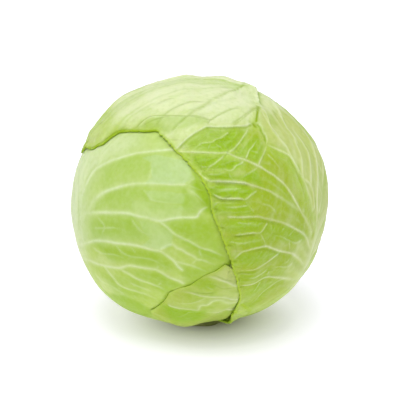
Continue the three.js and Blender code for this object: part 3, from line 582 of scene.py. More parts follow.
RIGHT_LEAF = {
    "piece": "wrapper_right",
    "about": "The outermost leaf, from the right over the crown",
    "node": "leaf_right",
    "middle": (84, 46),
    "layer": 3.2,
    "crowd": (-0.34, -0.22),
    "edge": np.vstack([
        seen([
            (79, 153), (80.8, 147.5), (87, 147.6), (92.4, 146.8), (95, 144.6), (100, 143.3),
            (103.3, 140.7), (107.8, 136.9), (111.6, 134.3), (116.7, 131.1), (122, 130.2),
            (131, 129.6), (145, 130), (156, 129.4), (159.7, 133.7), (166.1, 139.4),
            (172.5, 147.1), (180.8, 155.1), (187.2, 161.9), (192.4, 168.3), (196.2, 171.5),
            (200, 176.5), (203.3, 182.4), (207.8, 190.1), (210.3, 198.4), (211.5, 210),
            (214.2, 218.3), (220.8, 233.9), (224.7, 245.4), (229.2, 257.6), (231.7, 263.3),
            (232.2, 269.7), (235.4, 276.7), (236.6, 283.8), (239, 292.8), (239.9, 301.1),
            (239.3, 304.9), (235.4, 312), (232.2, 317.8), (228, 322.2),
        ], 3.2),
        charted([
            (22, -73), (38, FOOT), (64, FOOT), (92, FOOT), (116, FOOT), (134, -62), (148, -38),
            (156, -14), (160, 10), (170, 26), (-172, 34), (-150, 36), (-128, 29), (-112, 24),
        ]),
    ]),
    "drawn": [
        ("rib", (312.5, 213, 311, 201.8, 307.9, 191.8, 304.8, 182.5, 301.8, 176.4, 297.9, 167.9, 293.3, 161,
            288.7, 154.8, 277.8, 149.4, 267.5, 144.5)),
        ("rib", (312, 236, 310.2, 231, 307.9, 224.8, 304.8, 218.7, 301, 212.5, 298.7, 207.9, 295.6, 202.5,
            291.8, 195.6, 287.9, 189.5, 283.5, 184, 278.4, 179.6, 273.3, 175.1, 266.9, 171.2, 261.1, 167.4,
            249.6, 161.8, 243.1, 159, 235.4, 156.5, 227.5, 153, 219.3, 153.2, 206.5, 152.6, 193.7, 151.6,
            184, 150.6, 176.5, 150.2)),
        ("side", (227.9, 152.9, 232.4, 149.7, 236.9, 145.2, 240.7, 140.7, 244.6, 134.9, 247.8, 130.4,
            249.7, 126, 253.5, 120.5)),
        ("side", (245.8, 158.7, 247.8, 154.2, 249.7, 149.7, 252.2, 147.1, 256, 141.3, 259.3, 137.5)),
        ("side", (258, 165.7, 260, 161.2, 262.5, 156.1, 265.1, 151, 267, 145.2, 267, 141.3)),
        ("side", (229.5, 130.1, 225.7, 133, 221.2, 136.9, 216, 139.4, 212.2, 142, 202, 143.3, 198.8, 145.2,
            193.7, 148.4, 190.5, 150)),
        ("net", (211, 142.6, 207.4, 150.3)),
        ("net", (214.8, 143.3, 224.4, 151)),
        ("side", (224.4, 155.5, 219.3, 159.9, 214.2, 163.8, 209.7, 166.3, 206.5, 170.2, 202.8, 173)),
        ("net", (207.1, 167, 199.4, 165.7)),
        ("side", (243.9, 160.6, 240.7, 163.8, 235.6, 166.3, 232.3, 169.9, 228.4, 170.6, 225.2, 169.3,
            216.2, 168.7)),
        ("net", (229, 171.9, 230.3, 177, 236.1, 182.8)),
        ("net", (207.9, 173.8, 218.8, 174.1, 227.1, 170.9)),
        ("net", (257.2, 168, 252.1, 171.2, 245.7, 175.1, 237.4, 180.8)),
        ("net", (266.9, 153.3, 273.3, 160.3, 279, 167.4, 279.7, 170.6)),
        ("net", (249.6, 150.1, 261.1, 153.9)),
        ("rib", (304, 213, 296.4, 208.7, 290.4, 204.7, 285.5, 201.3, 280.3, 198.1, 275.2, 194.9, 270.1, 191.7,
            263.7, 189.2, 257.2, 187.2, 249.6, 185.6, 240.6, 183.7, 234.2, 182.8, 220, 181.8, 210.3, 180.8,
            206.5, 178.5, 202, 175.3, 197.5, 170.2)),
        ("side", (256.6, 190.4, 250.8, 194.3, 243.1, 199.8, 238, 199.1, 228.4, 199.1, 220, 198.5, 214.9, 196.2,
            212, 193.3)),
        ("net", (243.1, 199.8, 248.3, 206.5, 255.3, 214.8)),
        ("side", (247, 205.4, 231.6, 207.4, 222, 206.5)),
        ("rib", (311, 252, 308.7, 246, 307, 239, 303.5, 234, 297.9, 230.4, 289.8, 226, 282.5, 222.8, 276.5, 221,
            270.1, 219.6, 263.7, 218, 256.7, 216.4, 238.8, 216.9, 226.6, 217.1)),
        ("side", (267, 221.7, 263.8, 226.2, 258.7, 232, 251.6, 232.3, 245.2, 233.3, 233.7, 235.2)),
        ("net", (258.7, 232, 261.9, 238.4, 265.1, 245)),
        ("rib", (304, 268, 302.2, 264, 299.7, 260.2, 296.5, 257, 292, 253.8, 286.9, 252.5, 280.5, 251.2,
            270.2, 247.4, 265.1, 245.4, 258, 246.1, 251.6, 247.4, 245.2, 249.3, 240.7, 251.2, 234.3, 259.5)),
        ("net", (245.2, 249.3, 232.4, 251.2)),
        ("side", (279.8, 252.5, 274.7, 256.3, 270.2, 259.5, 261.2, 264, 251.6, 267.9, 238.8, 269.8,
            234.9, 270.4)),
        ("side", (267, 269.8, 258, 274.3, 251.6, 276.5, 242, 277)),
        ("rib", (296, 279.5, 290.1, 278.8, 277.2, 277.8, 267, 277.5, 261.2, 279.4, 254.8, 282, 240.7, 285.8)),
        ("net", (268.9, 271.1, 267.6, 276.9)),
        ("net", (261.2, 280.7, 256.7, 287.1, 252.2, 294.2)),
        ("side", (286, 278.5, 280.5, 280.1, 270.8, 286.5, 261.9, 293.5, 252.9, 303.1, 249, 305.7)),
        ("net", (286.2, 225.6, 280.5, 232)),
        ("net", (294.6, 229.4, 287.5, 237.1)),
        ("net", (302.2, 239.7, 295.2, 242.9, 288.2, 240.3, 280.5, 236.5, 271.5, 235.2)),
        ("net", (288.8, 241, 290.1, 251.9)),
        ("net", (293.3, 262.1, 287.5, 266.6, 278.5, 266.6, 274, 267.9, 270.2, 271.1)),
        ("net", (291.4, 257.6, 284.3, 264)),
        ("net", (261.1, 203.9, 270.1, 206.5, 276.5, 214.8, 277.1, 219.9)),
        ("pleat", (314, 210, 310, 185, 303.7, 178.3, 301.7, 168, 300.4, 157.8, 298.5, 151.3, 295.3, 143.7,
            293.4, 137.2, 290.8, 130.8, 287.6, 124.4, 284.4, 117.4, 280.6, 111, 275.4, 105.2, 270.3, 99.4,
            265.2, 95.6, 259, 92.5)),
        ("pleat", (300, 175, 294.4, 162.9, 290.6, 155.2, 286.1, 147.5, 280.3, 141.1, 273.5, 132.8, 271, 124.4,
            267.1, 111, 263.3, 105.8, 260.7, 100.7, 258.5, 92)),
        ("pleat", (310, 185, 308.8, 159, 306.9, 152, 302.4, 143.7, 299.8, 137.2, 294, 124.4)),
        ("pleat", (315.6, 226.4, 316.4, 218.7, 316, 203, 316.8, 187.9, 317.1, 175.7, 315.8, 162.9, 310.7, 147.5,
            305.6, 132.8, 301.1, 123.8)),
        ("streak", (317.9, 234, 320.2, 222.5, 324.8, 211, 326.4, 195.6)),
        ("crease", (275, 108, 279, 115, 284, 124)),
        ("crease", (297, 121, 300.5, 128, 303.7, 137)),
        ("crease", (313, 143, 316, 152)),
        ("crease", (320, 156, 323.5, 169)),
        ("crease", (318, 226, 321, 214, 324, 203, 322.5, 184)),
        ("crease", (314.5, 197, 314.5, 212)),
        ("line", FLANK_FOLD),
        ("streak", (316, 225, 315, 240, 311, 252)),
        ("line", (249.7, 84.3, 238.8, 85.9, 230.4, 88.1, 224, 91.7, 217, 95.2, 209.3, 98.4, 202.2, 104.2,
            188.8, 113.8, 182.4, 118.9, 176, 124.7, 170, 128.5)),
        ("line", (204.2, 98.4, 193.3, 101, 185.6, 104.2, 179.2, 106.1, 171.2, 110.6, 162.9, 114.4, 156.5, 116)),
        ("crease", (215, 117.5, 200, 117.5, 185, 116.5, 170, 117, 155, 119.5, 146.9, 122.8, 137.2, 126)),
        ("line", (169.3, 99, 159, 105.1)),
        ("line", (240.7, 105.4, 230.4, 107.7, 224, 110.9, 213.1, 116.3, 209.3, 120.2, 208, 124)),
        ("line", (259.3, 104.2, 251, 109.9, 246.5, 113.8, 240, 117.6, 233.7, 122.8)),
        ("slot", (260, 104, 259, 109, 258.2, 114, 257.6, 120)),
        ("slot", (254.5, 121, 256, 122.5, 258, 126)),
        ("line", (257, 120.5, 260.5, 124, 262, 130.4, 264.5, 136.2, 266.5, 141.5)),
        ("line", (165, 137, 172, 139, 187, 139.4)),
        ("net", (242, 87.5, 240.7, 91.3, 238.8, 96.5, 235.6, 101)),
        ("streak", (137.2, 105.4, 141.1, 101.6, 146.9, 97.1)),
        ("streak", (250, 86, 225, 86.5, 200, 92, 175, 100, 150, 112, 128, 127)),
        ("streak", (249, 85, 220, 82.5, 190, 84, 160, 91, 130, 106, 106, 126)),
        ("streak", (235, 81, 200, 78.5, 170, 82, 140, 92, 112, 110, 94, 133)),
        ("streak", (251, 90, 240, 100, 222, 108, 200, 122, 180, 136)),
        ("line", (230, 230, 236, 250, 237, 262)),
        ("slot", (178, 151, 183, 154)),
        ("slot", (187, 158, 190, 159.5)),
        ("slot", (215, 193.5, 222, 195)),
        ("slot", (224, 197.5, 229, 197, 232, 195)),
        ("slot", (206, 181, 208, 185)),
        ("slot", (213, 209, 221, 210.5)),
        ("slot", (219, 228, 226, 229)),
        ("slot", (233, 236.5, 243, 235)),
        ("slot", (226, 246, 233, 246)),
        ("slot", (232, 262, 238, 261)),
        ("crease", (238, 287.5, 248, 285, 256, 283)),
        ("crease", (238, 272.5, 248, 271, 258, 267.5)),
        ("crease", (214, 184, 232, 185.5, 248, 188)),
        ("crease", (214, 201, 230, 201.5, 244, 202)),
        ("crease", (246, 219, 262, 221, 276, 224, 288, 229)),
        ("crease", (252, 250, 262, 248, 274, 252, 286, 256)),
        ("net", (221, 190, 236, 189, 246, 188)),
        ("net", (236, 222, 247, 223, 256, 221)),
        ("net", (230, 242, 241, 242, 250, 240)),
    ],
    "grown": [
        ("midrib", [(60, -72), (58, -52), (58, -26), (62, -8), (60, 2)]),
        ("rib", [(64, 2), (82, 22), (98, 44), (106, 60)]),
        ("rib", [(63, -14), (84, 2), (106, 22), (114, 44), (111, 60)]),
        ("rib", [(61, -28), (84, -16), (110, 0), (132, 14), (150, 22)]),
        ("rib", [(60, -42), (84, -36), (110, -26), (134, -16), (152, -10)]),
        ("side", [(60, -56), (84, -52), (108, -48), (132, -42)]),
        ("side", [(113, 67), (140, 64), (174, 58), (-164, 46), (-152, 40)]),
        ("side", [(112, 64), (134, 54), (154, 40), (168, 30)]),
        ("side", [(108, 70), (170, 80), (-120, 74), (-100, 60), (-96, 44), (-98, 30)]),
        ("side", [(106, 69), (-150, 76), (-128, 60), (-124, 40)]),
    ],
    "veins": (0.34, 0.1, 0.65, 0.42, 1.5),
    "root": 0.9,
    "lit": 0.16,
    "lee": 0.38,
    "lean": 0.6,
    "rim": 0.9,
    "lip": 0.42,
    "nicks": 1.0,
    "pillow": 0.8,
    "crinkle": 1.0,
    "fibres": 0.3,
    "steps": [
        (0.6, 4.5, (175.5, 147.8, 184.7, 141.3, 192.4, 135.6, 200, 131, 206.5, 127.2, 211, 126, 240, 125,
            247, 124, 253.5, 120.5)),
        (-1.4, 5, (250, 80, 254, 84.5, 256.5, 90, 259, 96, 260.5, 102)),
        (0.9, 7, (257, 120, 261.2, 124, 263, 131, 266, 138, 267, 144)),
        (0.3, 4, CROWN_FOLD),
        (0.3, 4, (205, 99.4, 193.8, 101.3, 185.6, 104.2, 177.5, 107.5, 171, 111, 165, 116.3, 157.5, 123.8)),
        (0.2, 3, (175, 99.4, 167.5, 100, 156.3, 106.3)),
        (0.35, 4, (240.5, 105.6, 232.5, 106.9, 224, 110.9, 218.8, 113.8, 211, 119, 208, 124)),
        (0.35, 4, (259.5, 105, 251, 109.9, 244, 115, 234, 122.5)),
        (0.5, 5, (207.5, 116.8, 190, 116.5, 170, 116.6, 152.5, 117, 142, 121.5, 134, 127)),
        (0.75, 4, (212, 193.5, 220, 198.5, 228.4, 199.1, 243.1, 199.8)),
        (0.7, 4, (210.3, 180.8, 220, 181.8, 234.2, 182.8, 249.6, 185.6)),
        (0.6, 4, (233.7, 235.4, 245.2, 233.5, 256, 232.3)),
    ],
    "zones": [
        # Painted highlight: the top of the head, which faces the light, is painted pale.
        ("pale", 0.6, 10, (60, 60, 150, 20, 240, 30, 262, 60, 290, 90, 284, 108, 272, 112, 262, 104, 259, 106,
            256, 119, 247, 123.5, 225, 125, 206, 126.5, 190, 136, 178, 145, 168, 139, 160, 131, 150, 122,
            132, 125, 112, 120, 110, 100)),
        ("pale", 0.78, 8, (130, 60, 200, 40, 262, 66, 256, 88, 259, 106, 250, 108, 236, 106, 220, 112, 208, 116,
            170, 115.5, 150, 114, 140, 110)),
        ("pale", 0.12, 6, (80, 146, 94, 124, 112, 112, 112, 128, 100, 141, 88, 148)),
        # Painted shade: deep green under the steps across the crown and the leaf's top; the deep cells between
        # the ribs below are partly painted shade and partly the blade's own darker green.
        ("deep", 0.42, 2.2, (137.5, 125, 152.5, 117.2, 160, 116.9, 207.5, 117, 207, 121, 197, 125, 187.5, 128.5,
            172, 131, 162.5, 131.5, 157, 129.5, 140, 128.8)),
        ("deep", 0.8, 2.5, (185, 144, 198, 134, 207, 128, 226, 127.5, 250, 126.5, 245, 140, 232, 150,
            228.5, 152, 209, 151, 196, 150.5)),
        ("deep", 0.6, 1.8, (208, 128, 226, 127, 250, 126, 247, 131, 226, 131.5, 210, 131)),
        ("deep", 0.65, 2.5, (233, 153, 246, 143, 258.5, 135, 265, 146, 258, 164, 246, 158.5)),
        ("deep", 0.7, 2.5, (190, 155.5, 224.8, 156.8, 208.5, 169, 199, 168)),
        ("deep", 0.85, 2.5, (209.8, 168, 226, 159, 242, 163, 233, 170, 221, 170)),
        ("deep", 1.0, 2.5, (203, 172.5, 228.5, 174, 237.3, 179, 256, 171, 263.5, 186, 237.3, 181, 211, 180)),
        ("deep", 0.75, 2, (206, 186, 237.3, 186, 254.8, 191, 243.5, 198, 220, 197, 210, 197)),
        ("deep", 0.55, 2.5, (210, 202, 244.8, 201.8, 253, 214.5, 214, 215.5)),
        ("deep", 0.45, 2, (215, 219.8, 265, 220.5, 257, 231, 221, 233.5)),
        ("deep", 0.35, 2.5, (268.5, 223, 290, 228, 303.5, 233, 307, 240, 266, 243, 260.5, 233)),
        ("deep", 0.5, 2.5, (223, 239, 257.5, 236, 262.5, 244.5, 226, 249.5)),
        ("deep", 0.45, 3, (229, 254, 262, 249, 280, 253, 262, 262, 233, 268)),
        ("deep", 0.35, 3, (235, 273, 262, 270, 282, 268, 288, 276, 256, 279, 237, 284)),
        ("deep", 0.45, 4, (244, 294, 256, 286, 272, 283, 262, 298, 252, 308, 243, 306)),
        ("olive", 0.76, 7, (262, 148, 285, 160, 298, 188, 304, 206, 309, 228, 309, 250, 300, 270, 280, 292,
            262, 304, 241, 306, 238, 288, 232, 264, 222, 238, 214, 214, 211, 190, 214, 176, 236, 168)),
        ("olive", 0.7, 5, (232, 128, 262, 128, 268, 150, 262, 175, 240, 165)),
        ("mellow", 0.9, 3.5, (255, 83, 261, 98, 260.5, 112, 262, 124, 265, 132, 268, 143, 279, 149, 290, 157,
            298, 168, 304, 181, 309, 196, 313, 212, 316, 240, 322, 236, 334, 210, 334, 180, 326, 150, 310, 120,
            290, 95, 270, 84)),
        ("mellow", 0.85, 4, (293, 236, 296, 246, 290, 262, 282, 280, 292, 290, 308, 276, 322, 250, 324, 236)),
        ("deep", 0.35, 2, (269, 112, 274, 112, 279, 122, 276, 126, 270, 118)),
    ],
    "strokes": [
        # Painted highlight on the crests of the crown's pleats, and painted shade in olive beside them.
        ("pale", 0.5, 1.0, (253, 85, 256, 90, 259, 96, 261, 103, 264, 110, 268, 118, 272, 126, 278, 136)),
        ("pale", 0.45, 1.0, (262, 93, 270, 99, 277, 107, 283, 115, 288, 123, 293, 133, 297, 143)),
        ("olive", 0.35, 1.8, (262, 98, 266, 105, 271, 113, 277, 122, 284, 134)),
        ("olive", 0.35, 1.8, (268, 95, 277, 102, 285, 111, 291, 121, 296, 131)),
        ("pale", 0.45, 0.8, (243, 86, 240, 98, 235, 104, 228, 109)),
        # Painted highlight: a pale line on the crest of the step across the leaf's top.
        ("pale", 0.6, 0.8, (175.5, 147.4, 184.7, 140.8, 192.4, 135, 200, 130.4, 206.5, 126.4, 211, 125.2,
            240, 124.2, 247, 123.2, 252, 120.5)),
        ("olive", 0.4, 3, (330, 180, 331, 205, 328, 225, 320, 245)),
        ("deep", 0.25, 4, (319, 172, 321, 185, 320, 200)),
        # Painted shade: olive under the rolled lip at the left.
        ("olive", 0.3, 3, (86, 141, 94, 138, 102, 132)),
        ("lip", 0.42, 2.5, (212, 176.5, 235, 177)),
        # Painted shadow: a thin olive line at the foot of the same step.
        ("lip", 0.5, 0.6, (176, 149, 185.5, 142.6, 193, 137, 200.5, 132.4, 207, 128.6, 212, 127.6, 240, 126.4,
            247, 125.6, 253, 122.5)),
        # Painted shade: olive along the shaded band of the midrib on the right flank, beside the flank fold and
        # in the creases between the crown's pleats.
        ("olive", 0.6, 2.2, (307, 207, 311, 222, 312.5, 236, 308, 252, 303, 266, 296, 277, 276, 296, 262, 305)),
        ("olive", 0.5, 1.2, FLANK_FOLD),
        ("olive", 0.45, 1.6, (249, 84, 241, 83, 230, 81.5, 221, 81)),
        ("olive", 0.5, 1.4, (300, 133, 303, 141, 308, 155)),
        ("olive", 0.45, 1.4, (283, 124, 290, 140, 296, 156)),
        ("olive", 0.45, 1.4, (314, 160, 314.5, 185, 312.5, 196)),
        ("deep", 0.22, 1.1, (248, 85.5, 222, 84.5, 195, 86.5, 167, 94, 140, 107, 116, 126)),
        ("deep", 0.22, 1.1, (244, 84, 205, 80.5, 172, 84.5, 142, 95, 118, 110, 100, 130)),
        ("deep", 0.22, 1.1, (236, 95, 212, 101, 186, 112, 165, 126)),
        ("deep", 0.25, 1.2, (152, 104, 130, 118, 112, 133)),
        # Painted shade: olive along the bottom edge of the leaf, whose underside faces down.
        ("lip", 0.6, 2.2, (251, 319, 262, 312, 275, 304, 288, 292)),
        ("rim", 1.0, 1.6, (236, 311.5, 240, 307, 249, 310, 245, 315)),
        ("rim", 0.6, 1.6, (231, 320, 240, 319.5, 249, 316.5)),
        # Painted shade: olive in the slot and the small hole by the crown, and along the crown's folds and
        # lines.
        ("lip", 1.0, 0.9, (260, 104.2, 259.4, 107, 258.8, 111, 258.2, 115, 257.6, 119)),
        ("lip", 0.8, 1.6, (255.5, 121.5, 257, 124)),
        ("lip", 0.5, 0.6, (259, 105, 253, 109, 248, 113, 242, 118, 235, 123)),
        ("lip", 0.35, 0.7, CROWN_FOLD[:-2]),
        ("lip", 0.35, 0.7, (262, 126, 264, 132, 266, 140)),
        # Painted shade with the lip's own olive: the rolled lip at the left, whose face turns down.
        ("lip", 0.9, 1.1, (81, 150, 87, 147, 92.4, 146, 97, 143, 103, 139.5)),
        ("lip", 1.0, 1.7, (103, 138.5, 108, 135.5, 112, 132.5, 116, 129.8, 124, 128.8)),
        ("lip", 0.8, 0.9, (124, 128.8, 131, 129, 145, 129.7, 155, 129.4)),
    ],
    "lifts": [
        ((80, 150), 8, 0.5),
        ((111, 133), 8, 0.5),
        ((211, 203), 9, 0.8),
        ((228.3, 258), 3.2, -1.5),
        ((236, 285), 8, 0.4),
        ((242, 312), 6, 2.4),
        ((231, 322), 10, 4.2),
    ],
}

# From the inside out.
LEAVES = [LEFT, FRONT, BACK_LEAF, RIGHT_LEAF]


def grid_frame(middle):
    """The middle of a leaf, the way to its right and the way to the crown."""
    centre = at(*middle)
    turn = math.radians(middle[0])
    side = np.array([math.cos(turn), math.sin(turn), 0.0])
    return centre, side, np.cross(centre, side)


def polar(leaf, direction):
    """Distance from the leaf's middle and bearing from the way to the crown, in radians."""
    centre, side, up = leaf["frame"]
    distance = np.arccos(np.clip(direction @ centre, -1, 1))
    return distance, np.arctan2(direction @ side, direction @ up)


def edge_distance(leaf, bearing):
    return np.interp(bearing, leaf["bearings"], leaf["distances"], period=2 * math.pi)


def cover(leaf, direction, near, far):
    """1 where a leaf lies, down to 0 past its edge."""
    distance, bearing = polar(leaf, direction)
    past = (distance - edge_distance(leaf, bearing)) * HEAD_RADIUS
    return 1 - ease(past, near, far)


def chart_edge(leaf):
    """Keeps the leaf's frame, and its edge as distances by bearing, with small nicks."""
    leaf["frame"] = grid_frame(leaf["middle"])
    distance, bearing = polar(leaf, leaf["edge"])
    flat = np.stack([distance * np.sin(bearing), distance * np.cos(bearing)], axis=-1)
    curve = smooth_line(flat, closed=True, spacing=0.4 / HEAD_RADIUS)
    turns = np.arctan2(curve[:, 0], curve[:, 1])
    order = np.argsort(turns)
    leaf["bearings"] = turns[order]
    reach = np.hypot(curve[:, 0], curve[:, 1])[order]
    nicks = [noise.noise((40 * x, 40 * y, 3)) + 0.6 * noise.noise((90 * x, 90 * y, 8)) for x, y in curve[order]]
    leaf["distances"] = reach + leaf.get("nicks", 0) / HEAD_RADIUS * np.array(nicks)


for leaf in LEAVES:
    chart_edge(leaf)


# ---------------------------------------------------------------- the shape of one leaf


def grown_branches(line, seed):
    """Smaller veins that leave a rib on alternate sides and bend along with it."""
    dice = np.random.default_rng(seed)
    length = np.linalg.norm(np.diff(line, axis=0), axis=1).sum()
    count = int(length / BRANCH_PITCH)
    found = []
    for number in range(1, count + 1):
        place = min(int((number + dice.uniform(-0.3, 0.3)) / (count + 1) * len(line)), len(line) - 3)
        start = line[place]
        ahead = unit(line[place + 2] - line[max(place - 2, 0)])
        out = unit(start)
        side = np.cross(out, ahead) * (1 if number % 2 else -1)
        reach = dice.uniform(*BRANCH_REACH)
        bend = dice.uniform(0.3, 1.0)
        steps = np.linspace(0, 1, 6)[:, None]
        path = start + reach * steps * (0.4 * ahead + side * 0.8) + reach * 0.5 * bend * steps**2 * ahead
        path += dice.normal(0, 0.4, path.shape) * np.sqrt(steps)
        found.append(("net", unit(path)))
        fork = path[2]
        turned = unit(path[3] - path[2]) * 0.5 - side * dice.uniform(0.3, 0.7)
        away = fork + dice.uniform(*TWIG_REACH) * steps * turned
        found.append(("vein", unit(away)))
    return found


def strands_of(leaf):
    """All of a leaf's ribs and veins as lines on a round of the head's radius, and whether they
    thin out at their end."""
    strands = [(kind, seen(points, leaf["layer"]), False) for kind, points in leaf["drawn"]]
    for number, (kind, points) in enumerate(leaf["grown"]):
        line = charted(points)
        strands.append((kind, line, True))
        if kind != "midrib":
            branches = grown_branches(smooth_line(line * HEAD_RADIUS), 40 + number)
            strands.extend((*branch, True) for branch in branches)
    return [(kind, smooth_line(line * HEAD_RADIUS), soft) for kind, line, soft in strands]


def near_line(points, line, reach):
    """Which points lie within reach of a line, how far from it, how far along it (0 to 1) and on
    which side: 1 on its left seen from outside, -1 on its right."""
    centre = line.mean(axis=0)
    span = np.linalg.norm(line - centre, axis=1).max() + reach
    close = np.flatnonzero(((points - centre) ** 2).sum(axis=1) < span**2)
    if not len(close):
        return close, np.zeros(0), np.zeros(0), np.zeros(0)
    some = points[close]
    squares = (some**2).sum(1)[:, None] + (line**2).sum(1)[None, :] - 2 * some @ line.T
    nearest = squares.argmin(axis=1)
    away = np.sqrt(np.maximum(squares[np.arange(len(close)), nearest], 0))
    ahead = np.gradient(line, axis=0)
    left = np.cross(line, ahead)[nearest]
    side = np.sign(((some - line[nearest]) * left).sum(axis=1))
    inside = away < reach
    return close[inside], away[inside], nearest[inside] / max(len(line) - 1, 1), side[inside]


def draw_strands(leaf, points):
    """Height of ribs, creases and steps, where they are pale, with a halo, and dark, as painted shade in
    creases and at the foot of steps, the distance to the nearest rib, and how pale the blade above a vein
    is painted, as painted highlight, and how deep below it, as painted shade."""
    crest, shoulder, hollow, core, halo, dark, leaning, lit, lee = (np.zeros(len(points)) for _ in range(9))
    lean = leaf["lean"]
    spacing = np.full(len(points), 30.0)
    _, _, wide, high, broad_share = leaf["veins"]
    for kind, line, soft in strands_of(leaf):
        widths, heights, tint = STRANDS[kind]
        reach = max(4.5 * max(widths), 16.0 if kind in ("rib", "side") else 9.0)
        close, away, share, side = near_line(points, line, reach)
        width = (widths[0] + (widths[1] - widths[0]) * share) * (wide if kind != "midrib" else 1)
        height = (heights[0] + (heights[1] - heights[0]) * share) * high
        length = len(line) * LINE_SPACING
        fade = 3 if kind in ("rib", "midrib", "slot") and not soft else min(14, 0.5 * length)
        ends = ease(share * length, -1.5, 2.5) * ease((1 - share) * length, -0.2 * fade, fade)
        root = leaf["root"] * (1 - ease(share * length, *RIB_ROOT)) * (kind == "rib")
        width = width * (1 + 0.9 * root)
        narrow = np.exp(-((away / width) ** 2))
        broad = np.exp(-((away / (SHOULDER_WIDTH * width)) ** 2))
        if tint > 0:
            crest[close] = np.maximum(crest[close], height * ends * narrow * (1 - 0.6 * root))
            shoulder[close] = np.maximum(
                shoulder[close], SHOULDER_HEIGHT * broad_share / high * height * ends * broad
            )
            core[close] = np.maximum(
                core[close], tint * ends * (1 - 0.8 * root) * np.exp(-((away / (CORE_WIDTH * width)) ** 2))
            )
            halo[close] = np.maximum(halo[close], tint * ends * np.exp(-((away / (HALO_WIDTH * width)) ** 2)))
            if kind in ("midrib", "rib", "side"):
                spacing[close] = np.minimum(spacing[close], away)
            if kind in ("rib", "side"):
                left = np.cross(line[len(line) // 2], line[-1] - line[0])
                uphill = away * side * np.sign(left @ UP)
                slope = np.where(uphill > 0, np.exp(-uphill / 3.5), -0.3 * np.exp(uphill / 2.5))
                blur = ease(away, 0, 2.2)
                leaning[close] += lean * ends * height * slope * blur
                # Painted highlight above a vein and painted shade below it, with up taken from the view.
                strength = ends * tint * (1 - 0.5 * root)
                upper = np.where(uphill > 0, np.exp(-uphill / LIT_SIDE), 0) * strength
                under = np.where(uphill < 0, -uphill / LEE_SIDE * np.exp(1 + uphill / LEE_SIDE), 0) * strength
                lit[close] = np.maximum(lit[close], upper)
                lee[close] = np.maximum(lee[close], under)
        else:
            hollow[close] = np.minimum(hollow[close], height * ends * narrow)
            # Painted shade: creases, slots and lines are painted dark.
            dark[close] = np.maximum(dark[close], -tint * ends * narrow)
    height = crest + shoulder + hollow + np.clip(leaning, -0.7, 0.9)
    for rise, fall, path in leaf.get("steps", []):
        line = smooth_line(seen(path, leaf["layer"]) * HEAD_RADIUS)
        close, away, share, side = near_line(points, line, 3 * fall)
        ends = ease(np.minimum(share, 1 - share) * len(line) * LINE_SPACING, -1, 4)
        across = away * side * (1 if rise > 0 else -1)
        upper = ease(across, -0.5, 0.5) * np.exp(-np.maximum(across, 0) / fall)
        lower = (1 - ease(across, -0.5, 0.5)) * np.exp(np.minimum(across, 0) / (0.6 * fall))
        height[close] += abs(rise) * ends * (upper - 0.5 * lower)
        # Painted shadow: a dark line along the lower foot of each step.
        dark[close] = np.maximum(dark[close], 0.45 * ends * np.exp(-(((across + 0.7) / 0.6) ** 2)))
    return height, core, halo, dark, spacing, lit, lee


def inside_outline(points, outline):
    """Signed distance from an outline on the front, above 0 inside it."""
    def flat(directions):
        back = np.arccos(np.clip(directions @ BACK, -1, 1))
        turn = np.arctan2(directions @ UP, directions @ RIGHT)
        return np.stack([back * np.cos(turn), back * np.sin(turn)], axis=-1) * HEAD_RADIUS

    some, corners = flat(unit(points)), flat(outline)
    least = np.full(len(some), 1e9)
    odd = np.zeros(len(some), bool)
    for a, b in zip(corners, np.roll(corners, -1, axis=0)):
        along = b - a
        share = np.clip(((some - a) @ along) / (along @ along), 0, 1)
        least = np.minimum(least, np.linalg.norm(some - a - share[:, None] * along, axis=1))
        spans = (a[1] > some[:, 1]) != (b[1] > some[:, 1])
        rise = b[1] - a[1] if b[1] != a[1] else 1e-9
        odd ^= spans & (some[:, 0] < a[0] + (some[:, 1] - a[1]) / rise * along[0])
    return np.where(odd, least, -least)


TONES = ("deep", "pale", "olive", "mellow", "painted_wax_sheen", "rim", "lip")


def draw_tones(leaf, points):
    """Zones and strokes of colour, as one value for each tone."""
    found = {name: np.zeros(len(points)) for name in TONES}
    ragged = 1.4 * soft_noise(points, 5, 6)
    for name, amount, border, outline in leaf["zones"]:
        depth = inside_outline(points, seen(outline, leaf["layer"])) + ragged * min(1, border / 3)
        found[name] = np.maximum(found[name], amount * ease(depth, -border, border))
    for name, amount, radius, path in leaf["strokes"]:
        line = smooth_line(seen(path, leaf["layer"]) * HEAD_RADIUS, spacing=1.0)
        close, away, _, _ = near_line(points, line, 2.4 * radius)
        found[name][close] = np.maximum(found[name][close], amount * np.exp(-((away / radius) ** 2)))
    return found


def soft_noise(points, size, seed):
    """Noise from about -1 to 1, with swells of a size in millimetres."""
    shift = Vector((seed * 7.3, seed * 3.1, seed * 5.7))
    return np.array([noise.noise(Vector(p) + shift) for p in points / size])


def hollows(height):
    """How far each point of a leaf's grid lies below the blade around it, or above it (below 0)."""
    side = math.isqrt(len(height))
    around = height.reshape(side, side)
    weights = np.exp(-((np.arange(-4, 5) / 2.4) ** 2))
    weights = weights / weights.sum()
    for _ in range(2):
        padded = np.pad(around, ((4, 4), (0, 0)), mode="edge")
        around = sum(w * padded[n : n + side] for n, w in enumerate(weights)).T
    return around.ravel() - height


def square_to_round(a, b):
    """Lays a square of cells over a round, so that its border follows the leaf's edge."""
    wide = np.abs(a) > np.abs(b)
    radius = np.where(wide, a, b)
    safe = np.where(np.abs(radius) < 1e-9, 1, radius)
    turn = np.where(wide, math.pi / 4 * b / safe, math.pi / 2 - math.pi / 4 * a / safe)
    x, y = radius * np.cos(turn), radius * np.sin(turn)
    return np.hypot(x, y), np.arctan2(x, y)


